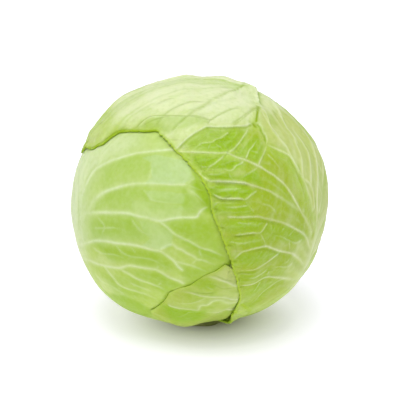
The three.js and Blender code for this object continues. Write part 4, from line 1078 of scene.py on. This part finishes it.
def spread_grid(leaf, flat):
    """The directions of the points of a square grid that is laid over the leaf."""
    across, along = flat[:, 0], flat[:, 1]
    crowd_across, crowd_along = leaf["crowd"]
    across = across + crowd_across * (1 - across**2)
    along = along + crowd_along * (1 - along**2)
    reach, bearing = square_to_round(across, along)
    distance = reach * edge_distance(leaf, bearing)
    centre, side, up = leaf["frame"]
    out = np.cos(bearing)[:, None] * up + np.sin(bearing)[:, None] * side
    return np.cos(distance)[:, None] * centre + np.sin(distance)[:, None] * out


def from_edge(leaf, points):
    """How far each point lies from the free edge, and how far along the edge."""
    centre, side, up = leaf["frame"]
    edge = np.cos(leaf["distances"])[:, None] * centre + np.sin(leaf["distances"])[:, None] * (
        np.cos(leaf["bearings"])[:, None] * up + np.sin(leaf["bearings"])[:, None] * side
    )
    edge = edge * HEAD_RADIUS
    lengths = np.concatenate([[0], np.cumsum(np.linalg.norm(np.diff(edge, axis=0), axis=1))])
    tree = kdtree.KDTree(len(edge))
    for number, place in enumerate(edge):
        tree.insert(place, number)
    tree.balance()
    hits = [tree.find(place)[1:] for place in points]
    return np.array([hit[1] for hit in hits]), lengths[[hit[0] for hit in hits]]


def margin_height(leaf, points, inward, around, layers):
    """The margin lies on the leaf below it, with waves and a rolled lip, and stands off in places."""
    lift = np.zeros(len(points))
    for place, spread, height in leaf.get("lifts", []):
        away = np.linalg.norm(points - seen(place, leaf["layer"]) * HEAD_RADIUS, axis=1) / spread
        lift = lift + height * np.exp(-away * away)
    near_margin = 1 - ease(inward, 0, MARGIN)
    settle = -SETTLE * np.minimum(layers, 1) * near_margin
    waves = np.sin(around / 3.4 + 2.2 * np.sin(around / 17)) * (0.6 + 0.4 * np.sin(around / 11))
    ripple = WAVE_HEIGHT * waves * (1 - ease(inward, 2, 16)) * ease(inward, 0, 2.5)
    roll = np.exp(-(((inward - 0.9) / 0.9) ** 2)) - 0.7 * np.exp(-(((inward - 3.6) / 1.5) ** 2))
    return settle + lift * near_margin + ripple + leaf["lip"] * roll * np.minimum(layers, 1)


def crown_fibres(direction):
    """Pale and deep streaks that run out from the crown."""
    crown = at(*CROWN)
    beside = unit(np.cross(crown, [0, 0, 1.0]))
    span = np.arccos(np.clip(direction @ crown, -1, 1))
    turn = np.arctan2(direction @ beside, direction @ np.cross(crown, beside))
    fan = np.stack([np.cos(turn) * 9, np.sin(turn) * 9, span * 1.3], axis=-1)
    return soft_noise(fan, size=1.0, seed=9) + 0.6 * soft_noise(fan * [2.6, 2.6, 2.0], size=1.0, seed=10)


def leaf_points(leaf, flat, shape, inner=False):
    """Places every point of the grid of one face, and gives the values that its colours follow."""
    direction = spread_grid(leaf, flat)
    points = direction * HEAD_RADIUS
    inward, around = from_edge(leaf, points)

    number = LEAVES.index(leaf)
    layers = sum((cover(other, direction, *DRAPE) for other in LEAVES[:number]), np.zeros(len(points)))
    bare = np.ones(len(points))
    for other in LEAVES[number + 1 :]:
        bare = bare * (1 - cover(other, direction, -1.5, 3.5))
    clasp = ease(direction[:, 2], -0.97, -0.9)  # the leaf is plain where it clasps the stem

    relief, core, halo, dark, spacing, lit, lee = draw_strands(leaf, points)
    tones = draw_tones(leaf, points)
    # Pale, thin leaf is smoother than green leaf.
    smoothed = np.maximum.reduce([tones["pale"], tones["mellow"], 0.5 * tones["olive"]])
    crinkle = leaf["crinkle"] * (1 - 0.85 * np.clip(1.4 * smoothed, 0, 1))
    fine = 0.05 * soft_noise(points, size=3.4, seed=3) + crinkle * (
        0.12 * soft_noise(points, size=2.2, seed=11) + 0.22 * soft_noise(points, size=7.5, seed=12)
    )
    seed = 1 + leaf["layer"]
    buckle = soft_noise(points, size=26, seed=seed) + 0.45 * soft_noise(points, size=11, seed=seed + 1)
    drawn = shape.ribs * (relief + fine) + leaf["pillow"] * ease(spacing, 0, NET_GAP)
    thickness = shape.thickness / MM * (0.35 + 0.65 * ease(inward, 0, 4))
    height = shape.buckle / MM * buckle + margin_height(leaf, points, inward, around, layers)
    height = height + (-thickness if inner else drawn)
    radius = head_radius(direction) + layers * LAYER_PITCH + height * np.where(inner, 1, bare * clasp)

    core_tint, halo_tint = leaf["veins"][:2]
    fibres = leaf.get("fibres", 0) * crown_fibres(direction) * (1 - 0.7 * tones["pale"])
    # Painted highlight: the upper sides of veins are painted pale. Painted shade: their lower sides are painted
    # deep green.
    pale = np.maximum(tones["pale"], halo_tint * halo) + leaf["lit"] * lit + fibres
    deep = tones["deep"] * (1 - 0.5 * lit) + leaf["lee"] * lee
    # Painted shade: the inner face is painted lip olive near the margin, where the margin's wall and underside
    # lie in shade.
    underside = 0.9 * np.exp(-((inward / 4) ** 2)) if inner else np.zeros(len(points))
    values = {
        "vein": core_tint * core * np.clip(0.8 + 1.1 * soft_noise(points, size=16, seed=21), 0.25, 1.3),
        "dark": np.clip(dark, 0, 1),
        "hollow": np.clip(0.5 + 0.9 * hollows(drawn), 0, 1),
        "crinkle": crinkle,
        **tones,
        "pale": np.clip(pale, 0, 1),
        "deep": np.clip(deep, 0, 1),
        "lip": np.maximum(tones["lip"], underside),
        "rim": np.maximum(tones["rim"], leaf["rim"] * np.exp(-((inward / 1.2) ** 2))),
    }
    return direction * radius[:, None], values


# ---------------------------------------------------------------- modelling steps


def deselect_all():
    for thing in bpy.context.view_layer.objects:
        thing.select_set(False)


def read_points(piece):
    places = np.empty(len(piece.data.vertices) * 3)
    piece.data.vertices.foreach_get("co", places)
    return places.reshape(-1, 3)


def write_points(piece, points):
    piece.data.vertices.foreach_set("co", np.ascontiguousarray(points, dtype=np.float32).ravel())
    piece.data.update()


def write_values(piece, values):
    for name, numbers in values.items():
        layer = piece.data.attributes.new(name, "FLOAT", "POINT")
        layer.data.foreach_set("value", numbers.astype(np.float32))


def hand_over(piece, node, material):
    piece.data.materials.clear()
    piece.data.materials.append(material)
    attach(piece, "root")
    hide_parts(node)


# ---------------------------------------------------------------- materials


def add_node(tree, kind, inputs=None, **settings):
    """Adds a node. An input is a number, a colour or the output of another node."""
    made = tree.nodes.new(kind)
    for name, value in settings.items():
        setattr(made, name, value)
    for socket, value in (inputs or {}).items():
        if isinstance(value, bpy.types.NodeSocket):
            tree.links.new(value, made.inputs[socket])
        else:
            made.inputs[socket].default_value = value
    return made


def opaque(colour):
    return (*colour[:3], 1.0)


def new_material(name):
    material = bpy.data.materials.new(name)
    material.use_nodes = True
    tree = material.node_tree
    tree.nodes.clear()
    return material, tree


def waxy_leaf_material(name, colours):
    """Fresh cabbage leaf: a firm blade that lets a little light in, under a thin coat of wax.

    The wax gives a broad, soft sheen, and its bluish patches are painted reflections of the soft light,
    laid as colour. Light that has been inside the thin blade comes out yellower. Veins are paler than
    the blade, and a fine net of them fills its cells.
    """
    material, tree = new_material(name)
    places = add_node(tree, "ShaderNodeTexCoord").outputs["Object"]
    drawn = {
        label: add_node(tree, "ShaderNodeAttribute", attribute_name=label).outputs["Fac"]
        for label in (*TONES, "vein", "dark", "hollow", "crinkle")
    }
    # Clouds of 25 mm, patches of 8 mm, cells of 5 mm and mottles of 3 mm.
    clouds, patches, waver, mottles = (
        add_node(tree, "ShaderNodeTexNoise", {"Vector": places, "Scale": 1 / (size * MM), "Detail": detail})
        for size, detail in ((25, 3.0), (8, 3.0), (5, 2.0), (3, 2.0))
    )
    # The finest veins part cells about 6 mm wide; noise bends their straight sides.
    bent = add_node(
        tree, "ShaderNodeVectorMath",
        {0: waver.outputs["Color"], 1: (5 * MM,) * 3, 2: places}, operation="MULTIPLY_ADD",
    )
    cells = add_node(
        tree, "ShaderNodeTexVoronoi", {"Vector": bent.outputs[0], "Scale": 1 / (6 * MM)},
        feature="DISTANCE_TO_EDGE",
    )
    net = add_node(
        tree, "ShaderNodeMapRange", {"Value": cells.outputs["Distance"], 1: 0.0, 2: 0.09, 3: 1.0, 4: 0.0},
        interpolation_type="SMOOTHSTEP",
    ).outputs[0]
    net_share = add_node(
        tree, "ShaderNodeMath", {0: drawn["crinkle"], 1: 0.1, 2: 0.03}, operation="MULTIPLY_ADD"
    ).outputs[0]
    fine_veins = add_node(tree, "ShaderNodeMath", {0: net, 1: net_share}, operation="MULTIPLY").outputs[0]

    # From the bottom up: what a layer of colour follows, times its share, plus its offset.
    clouds, patches, mottles = (pattern.outputs["Fac"] for pattern in (clouds, patches, mottles))
    layers = (
        (clouds, 0.56, -0.1925, "deep"),
        *((drawn[name], 1, 0, name) for name in ("olive", "mellow", "pale", "painted_wax_sheen", "deep")),
        (fine_veins, 1, 0, "mellow"),
        (patches, 0.35, -0.175, "deep"),
        (patches, -0.2, 0.1, "pale"),
        (mottles, 0.6, -0.3, "deep"),
        (mottles, -0.25, 0.125, "pale"),
        # Painted shade: hollows are painted deeper green and crests paler, as shade gathers in hollows.
        (drawn["hollow"], 1.6, -0.8, "deep"),
        (drawn["hollow"], -1.12, 0.56, "vein"),
        (drawn["vein"], 1, 0, "vein"),
        # Painted shade in creases, slots and at the foot of steps.
        (drawn["dark"], 0.6, 0, "crease"),
        (drawn["rim"], 0.8, 0, "rim"),
        # Lip olive, partly painted shade along margins, slots and folds.
        (drawn["lip"], 1, 0, "lip"),
    )
    green = opaque(colours.blade)
    for pattern, share, offset, name in layers:
        amount = add_node(
            tree, "ShaderNodeMath", {0: pattern, 1: share, 2: offset}, operation="MULTIPLY_ADD"
        ).outputs[0]
        green = add_node(
            tree, "ShaderNodeMix", {0: amount, 6: green, 7: opaque(getattr(colours, name))},
            data_type="RGBA", clamp_factor=True,
        ).outputs[2]

    raised = add_node(tree, "ShaderNodeMath", {0: net, 1: 0.5, 2: mottles}, operation="MULTIPLY_ADD").outputs[0]
    rough = add_node(tree, "ShaderNodeMath", {0: drawn["crinkle"], 1: 0.15}, operation="ADD").outputs[0]
    uneven = add_node(tree, "ShaderNodeMath", {0: raised, 1: rough}, operation="MULTIPLY").outputs[0]
    bump = add_node(tree, "ShaderNodeBump", {"Strength": 0.7, "Distance": 0.5 * MM, "Height": uneven})
    sheen = add_node(tree, "ShaderNodeMath", {0: clouds, 1: 0.22, 2: 0.34}, operation="MULTIPLY_ADD")
    shader = add_node(
        tree, "ShaderNodeBsdfPrincipled",
        {
            "Base Color": green, "Roughness": sheen.outputs[0], "IOR": 1.45, "Normal": bump.outputs[0],
            "Subsurface Weight": 0.22, "Subsurface Radius": (0.7, 1.0, 0.25), "Subsurface Scale": 2.5 * MM,
            "Specular IOR Level": 0.2,
        },
    )
    add_node(tree, "ShaderNodeOutputMaterial", {"Surface": shader.outputs[0]})
    return material


def cut_stem_material(colours):
    """Cabbage stem, cut with a knife: moist, faintly grainy fibres, in rings from a pale pith to a
    drying, browner rind, painted darker olive at its side as painted shade."""
    material, tree = new_material("cut cabbage stem")
    places = add_node(tree, "ShaderNodeTexCoord").outputs["Object"]
    flat = add_node(tree, "ShaderNodeVectorMath", {0: places, 1: (1.0, 1.0, 0.0)}, operation="MULTIPLY")
    radius = add_node(
        tree, "ShaderNodeVectorMath", {0: flat.outputs[0], 1: (MIDDLE[0], MIDDLE[1], 0.0)}, operation="DISTANCE"
    ).outputs["Value"]
    grain = add_node(tree, "ShaderNodeTexNoise", {"Vector": places, "Scale": 1 / (1.2 * MM), "Detail": 4.0})
    wobble = add_node(
        tree, "ShaderNodeMath", {0: grain.outputs["Fac"], 1: 2.4 * MM, 2: radius}, operation="MULTIPLY_ADD"
    )
    ramp = add_node(
        tree, "ShaderNodeMapRange", {"Value": wobble.outputs[0], 1: 0.0, 2: (STEM_RADIUS + 1) * MM}
    )
    tint = add_node(tree, "ShaderNodeValToRGB", {0: ramp.outputs[0]})
    stops = tint.color_ramp.elements
    stops[0].position, stops[0].color = 0.0, opaque(hex_colour("f0f0d6"))
    # Painted shade: the rind is darker olive than a cut stem's own, as its side lies in shade under the head.
    stops[1].position, stops[1].color = 1.0, opaque(hex_colour("767c40"))
    for position, code in ((0.42, "e6e8c0"), (0.55, "cfd69a"), (0.66, "e4e7bd"), (0.88, "b4b878")):
        stop = stops.new(position)
        stop.color = opaque(hex_colour(code))
    bump = add_node(
        tree, "ShaderNodeBump", {"Strength": 0.4, "Distance": 0.4 * MM, "Height": grain.outputs["Fac"]}
    )
    shader = add_node(
        tree, "ShaderNodeBsdfPrincipled",
        {
            "Base Color": tint.outputs[0], "Roughness": 0.6, "IOR": 1.4, "Normal": bump.outputs[0],
            "Subsurface Weight": 0.2, "Subsurface Radius": (1.0, 0.9, 0.5), "Subsurface Scale": 3 * MM,
        },
    )
    add_node(tree, "ShaderNodeOutputMaterial", {"Surface": shader.outputs[0]})
    return material


def floor_material(colours):
    """Matt white paper sweep, smooth enough to show no grain.

    The paper glows though it is no lamp: a painted glow that grows away from the foot of the head
    keeps its shadow soft and close to it, and the paper right under the leaves is painted green, as
    painted bounce light from them.
    """
    material, tree = new_material("white paper sweep")
    places = add_node(tree, "ShaderNodeTexCoord").outputs["Object"]
    # The painted shade is a little wider than it is deep, and lies to the right.
    narrowed = add_node(
        tree, "ShaderNodeVectorMath", {0: places, 1: (0.87, 1.0, 1.0)}, operation="MULTIPLY"
    ).outputs[0]
    heart_of_shade = (MIDDLE[0] + 5 * MM, MIDDLE[1], 0.0)
    away = add_node(
        tree, "ShaderNodeVectorMath", {0: narrowed, 1: heart_of_shade}, operation="DISTANCE"
    ).outputs["Value"]
    glow = add_node(
        tree, "ShaderNodeMapRange", {"Value": away, 1: 12 * MM, 2: 56 * MM, 3: 0.0, 4: colours.glow}
    ).outputs[0]
    # Painted bounce light: the paper near the foot is tinted green.
    plain = add_node(tree, "ShaderNodeMapRange", {"Value": away, 1: 12 * MM, 2: 50 * MM}).outputs[0]
    paper = add_node(
        tree, "ShaderNodeMix", {0: plain, 6: opaque(colours.painted_bounce), 7: opaque(colours.floor)},
        data_type="RGBA",
    ).outputs[2]
    shader = add_node(
        tree, "ShaderNodeBsdfPrincipled",
        {"Base Color": paper, "Roughness": 0.9, "Specular IOR Level": 0.1,
         "Emission Color": (1, 1, 1, 1), "Emission Strength": glow},
    )
    add_node(tree, "ShaderNodeOutputMaterial", {"Surface": shader.outputs[0]})
    return material


# ---------------------------------------------------------------- operators

KEY_PLACE = (-20, 76)  # azimuth and elevation of the key light
KEY_WIDTH = 36  # degrees across, as of a large soft box
SKY_LEVELS = (1.05, 0.75)  # share of the surround's brightness at the horizon and overhead


class CABBAGE_OT_stem(Operator):
    """Cuts the stem that the head stands on"""

    bl_idname = "cabbage.stem"
    bl_label = "Add Stem"

    def execute(self, context):
        deselect_all()
        bpy.ops.mesh.primitive_cylinder_add(
            vertices=96,
            radius=STEM_RADIUS * MM,
            depth=STEM_HEIGHT * MM,
            location=(MIDDLE[0], MIDDLE[1], STEM_HEIGHT * MM / 2),
        )
        piece = context.object
        piece.name = piece.data.name = "cut_stem"
        bpy.ops.object.transform_apply(location=True, rotation=True, scale=True)
        bpy.ops.object.mode_set(mode="EDIT")
        bpy.ops.mesh.select_all(action="DESELECT")
        bpy.ops.object.mode_set(mode="OBJECT")
        for face in piece.data.polygons:
            face.select = face.normal.z < -0.9
        bpy.ops.object.mode_set(mode="EDIT")
        bpy.ops.mesh.select_mode(type="FACE")
        for width in (1.0, 1.6, 2.4, 3.0, 3.0, 3.0):  # rings that round the rim and dish the face
            bpy.ops.mesh.inset(thickness=width * MM, depth=0)
        bpy.ops.mesh.select_all(action="SELECT")
        bpy.ops.mesh.quads_convert_to_tris()
        bpy.ops.mesh.subdivide(number_cuts=2)
        bpy.ops.object.mode_set(mode="OBJECT")
        points = read_points(piece)
        local = (points - MIDDLE) / MM
        low = -MIDDLE_HEIGHT
        radius = np.hypot(local[:, 0], local[:, 1])
        turn = np.arctan2(local[:, 0], local[:, 1])
        up = ease(local[:, 2], low, low + STEM_HEIGHT)
        lobes = 0.35 * np.sin(5 * turn + 0.7) + 0.2 * np.sin(9 * turn + 2.1)
        waist = -0.9 * np.sin(math.pi * up)
        skin = ease(radius, STEM_RADIUS - 4, STEM_RADIUS)
        rounded = ease(radius, STEM_RADIUS - 1.3, STEM_RADIUS) * (1 - ease(local[:, 2], low, low + 2))
        grown = 1 + skin * (lobes + waist + 0.9 * up) / STEM_RADIUS - 0.035 * rounded
        local[:, :2] *= grown[:, None]
        # The pith shrinks as it dries, so the head rests on a ring round it.
        pith = np.exp(-((radius / 7) ** 2)) * 0.5 + 0.12 * (1 + soft_noise(local, size=3.0, seed=5))
        face = 1 - ease(local[:, 2], low, low + 0.5)
        resting = ease(radius, 12, 15)
        local[:, 2] += face * pith * (1 - resting)
        write_points(piece, local * MM + MIDDLE)
        bpy.ops.object.shade_smooth_by_angle(angle=math.radians(50))
        hand_over(piece, "stem", cut_stem_material(context.scene.cabbage_colours))
        return {"FINISHED"}


class CABBAGE_OT_heart(Operator):
    """Shapes the tight inner head that the leaves wrap"""

    bl_idname = "cabbage.heart"
    bl_label = "Add Heart"

    def execute(self, context):
        deselect_all()
        bpy.ops.mesh.primitive_ico_sphere_add(subdivisions=6, radius=HEAD_RADIUS * MM, location=(0, 0, 0))
        piece = context.object
        piece.name = piece.data.name = "heart"
        direction = unit(read_points(piece))
        buckle = soft_noise(direction * HEAD_RADIUS, size=22, seed=8) * 0.5 - 0.3
        radius = head_radius(direction) - HEART_DEPTH + buckle
        local = direction * radius[:, None]
        local[:, 2] = np.maximum(local[:, 2], STEM_HEIGHT + JOINT_GAP - MIDDLE_HEIGHT)
        write_points(piece, local * MM + MIDDLE)
        turn = np.arctan2(direction[:, 0], direction[:, 1])
        rays = np.clip(np.sin(turn * 11 + 3 * direction[:, 2]), 0, 1) ** 3
        shares = {"dark": 0, **dict.fromkeys(TONES, 0), "pale": 0.7, "crinkle": 0.4, "hollow": 0.5}
        values = {name: np.full(len(direction), share) for name, share in shares.items()}
        write_values(piece, {"vein": rays * 0.6, **values})
        bpy.ops.object.shade_smooth()
        material = waxy_leaf_material("tight inner cabbage leaf", context.scene.cabbage_colours)
        hand_over(piece, "inner_head", material)
        return {"FINISHED"}


class CABBAGE_OT_leaf(Operator):
    """Wraps one leaf round the head"""

    bl_idname = "cabbage.leaf"
    bl_label = "Add Leaf"

    which: EnumProperty(
        name="Leaf",
        description="Which of the wrapper leaves",
        items=[(leaf["piece"], leaf["piece"].replace("_", " ").title(), leaf["about"]) for leaf in LEAVES],
    )

    def execute(self, context):
        leaf = next(leaf for leaf in LEAVES if leaf["piece"] == self.which)
        shape = context.scene.cabbage_shape
        # The outer face is the finer one. Both follow one edge, and a strip of faces joins them.
        faces = []
        for name, cells in (("inner", shape.cells), (leaf["piece"], 3 * shape.cells)):
            deselect_all()
            bpy.ops.mesh.primitive_grid_add(x_subdivisions=cells, y_subdivisions=cells, size=2)
            face = context.object
            face.name = face.data.name = name
            points, values = leaf_points(leaf, read_points(face), shape, name == "inner")
            write_points(face, points * MM + MIDDLE)
            write_values(face, values)
            faces.append(face)
        inner, piece = faces
        deselect_all()
        context.view_layer.objects.active = inner
        bpy.ops.object.mode_set(mode="EDIT")
        bpy.ops.mesh.select_all(action="SELECT")
        bpy.ops.mesh.flip_normals()
        bpy.ops.object.mode_set(mode="OBJECT")
        inner.select_set(True)
        piece.select_set(True)
        context.view_layer.objects.active = piece
        bpy.ops.object.join()
        bpy.ops.object.mode_set(mode="EDIT")
        bpy.ops.mesh.select_mode(type="EDGE")
        bpy.ops.mesh.select_all(action="DESELECT")
        bpy.ops.mesh.select_non_manifold(use_wire=False, use_multi_face=False, use_non_contiguous=False)
        bpy.ops.mesh.bridge_edge_loops()
        bpy.ops.object.mode_set(mode="OBJECT")
        bpy.ops.object.shade_smooth_by_angle(angle=math.radians(55))
        name = "fresh waxy cabbage leaf"
        material = bpy.data.materials.get(name) or waxy_leaf_material(name, context.scene.cabbage_colours)
        hand_over(piece, leaf["node"], material)
        return {"FINISHED"}


class CABBAGE_OT_stage(Operator):
    """Lays the white floor and sets the lights and the camera"""

    bl_idname = "cabbage.stage"
    bl_label = "Add Stage"

    def execute(self, context):
        stage = context.scene.cabbage_stage
        deselect_all()
        bpy.ops.mesh.primitive_plane_add(size=12, location=(0, 0, 0))
        floor = context.object
        floor.name = floor.data.name = "floor"
        floor.data.materials.append(floor_material(stage))

        world = bpy.data.worlds.new("white surround")
        context.scene.world = world
        world.use_nodes = True
        tree = world.node_tree
        toward = add_node(tree, "ShaderNodeTexCoord").outputs["Generated"]
        height = add_node(tree, "ShaderNodeSeparateXYZ", {0: toward}).outputs["Z"]
        rise = add_node(
            tree, "ShaderNodeMapRange", {"Value": height, 1: 0.0, 2: 1.0, 3: SKY_LEVELS[0], 4: SKY_LEVELS[1]}
        )
        surround = tree.nodes["Background"]
        surround.inputs["Color"].default_value = (1, 1, 1, 1)
        level = add_node(
            tree, "ShaderNodeMath", {0: rise.outputs[0], 1: stage.sky}, operation="MULTIPLY"
        ).outputs[0]
        tree.links.new(level, surround.inputs["Strength"])

        light = bpy.data.lights.new("key", "SUN")
        light.energy = stage.key
        light.angle = math.radians(KEY_WIDTH)
        lamp = bpy.data.objects.new("key", light)
        context.collection.objects.link(lamp)
        lamp.rotation_euler = (-Vector(at(*KEY_PLACE))).to_track_quat("-Z", "Y").to_euler()

        camera = bpy.data.cameras.new("camera")
        camera.sensor_width = 36
        half_view = SHEET_SIDE / 2 * SHEET_UNIT / VIEW_DISTANCE
        camera.lens = camera.sensor_width / 2 / half_view
        holder = bpy.data.objects.new("camera", camera)
        context.collection.objects.link(holder)
        slip = (SHEET_SIDE / 2 - SHEET_MIDDLE[0]) * RIGHT + (SHEET_MIDDLE[1] - SHEET_SIDE / 2) * UP
        holder.location = MIDDLE + (EYE + slip * SHEET_UNIT) * MM
        holder.rotation_euler = (math.radians(90 - VIEW_TILT), 0, 0)
        context.scene.camera = holder
        context.scene.view_settings.view_transform = "Standard"
        return {"FINISHED"}


class CABBAGE_PT_panel(Panel):
    bl_label = "Cabbage"
    bl_idname = "CABBAGE_PT_panel"
    bl_space_type = "VIEW_3D"
    bl_region_type = "UI"
    bl_category = "Cabbage"

    def draw(self, context):
        layout = self.layout
        for group in (context.scene.cabbage_shape, context.scene.cabbage_colours, context.scene.cabbage_stage):
            for name in group.__annotations__:
                layout.prop(group, name)
        layout.operator(CABBAGE_OT_stem.bl_idname)
        layout.operator(CABBAGE_OT_heart.bl_idname)
        layout.operator_menu_enum(CABBAGE_OT_leaf.bl_idname, "which")
        layout.operator(CABBAGE_OT_stage.bl_idname)


CLASSES = (
    CabbageShape,
    CabbageColours,
    CabbageStage,
    CABBAGE_OT_stem,
    CABBAGE_OT_heart,
    CABBAGE_OT_leaf,
    CABBAGE_OT_stage,
    CABBAGE_PT_panel,
)


def register():
    for kind in CLASSES:
        bpy.utils.register_class(kind)
    bpy.types.Scene.cabbage_shape = PointerProperty(type=CabbageShape)
    bpy.types.Scene.cabbage_colours = PointerProperty(type=CabbageColours)
    bpy.types.Scene.cabbage_stage = PointerProperty(type=CabbageStage)


def unregister():
    del bpy.types.Scene.cabbage_stage
    del bpy.types.Scene.cabbage_colours
    del bpy.types.Scene.cabbage_shape
    for kind in reversed(CLASSES):
        bpy.utils.unregister_class(kind)


def main():
    register()
    bpy.ops.cabbage.stem()
    bpy.ops.cabbage.heart()
    for leaf in LEAVES:
        bpy.ops.cabbage.leaf(which=leaf["piece"])
    bpy.ops.cabbage.stage()


if __name__ == "__main__":
    main()
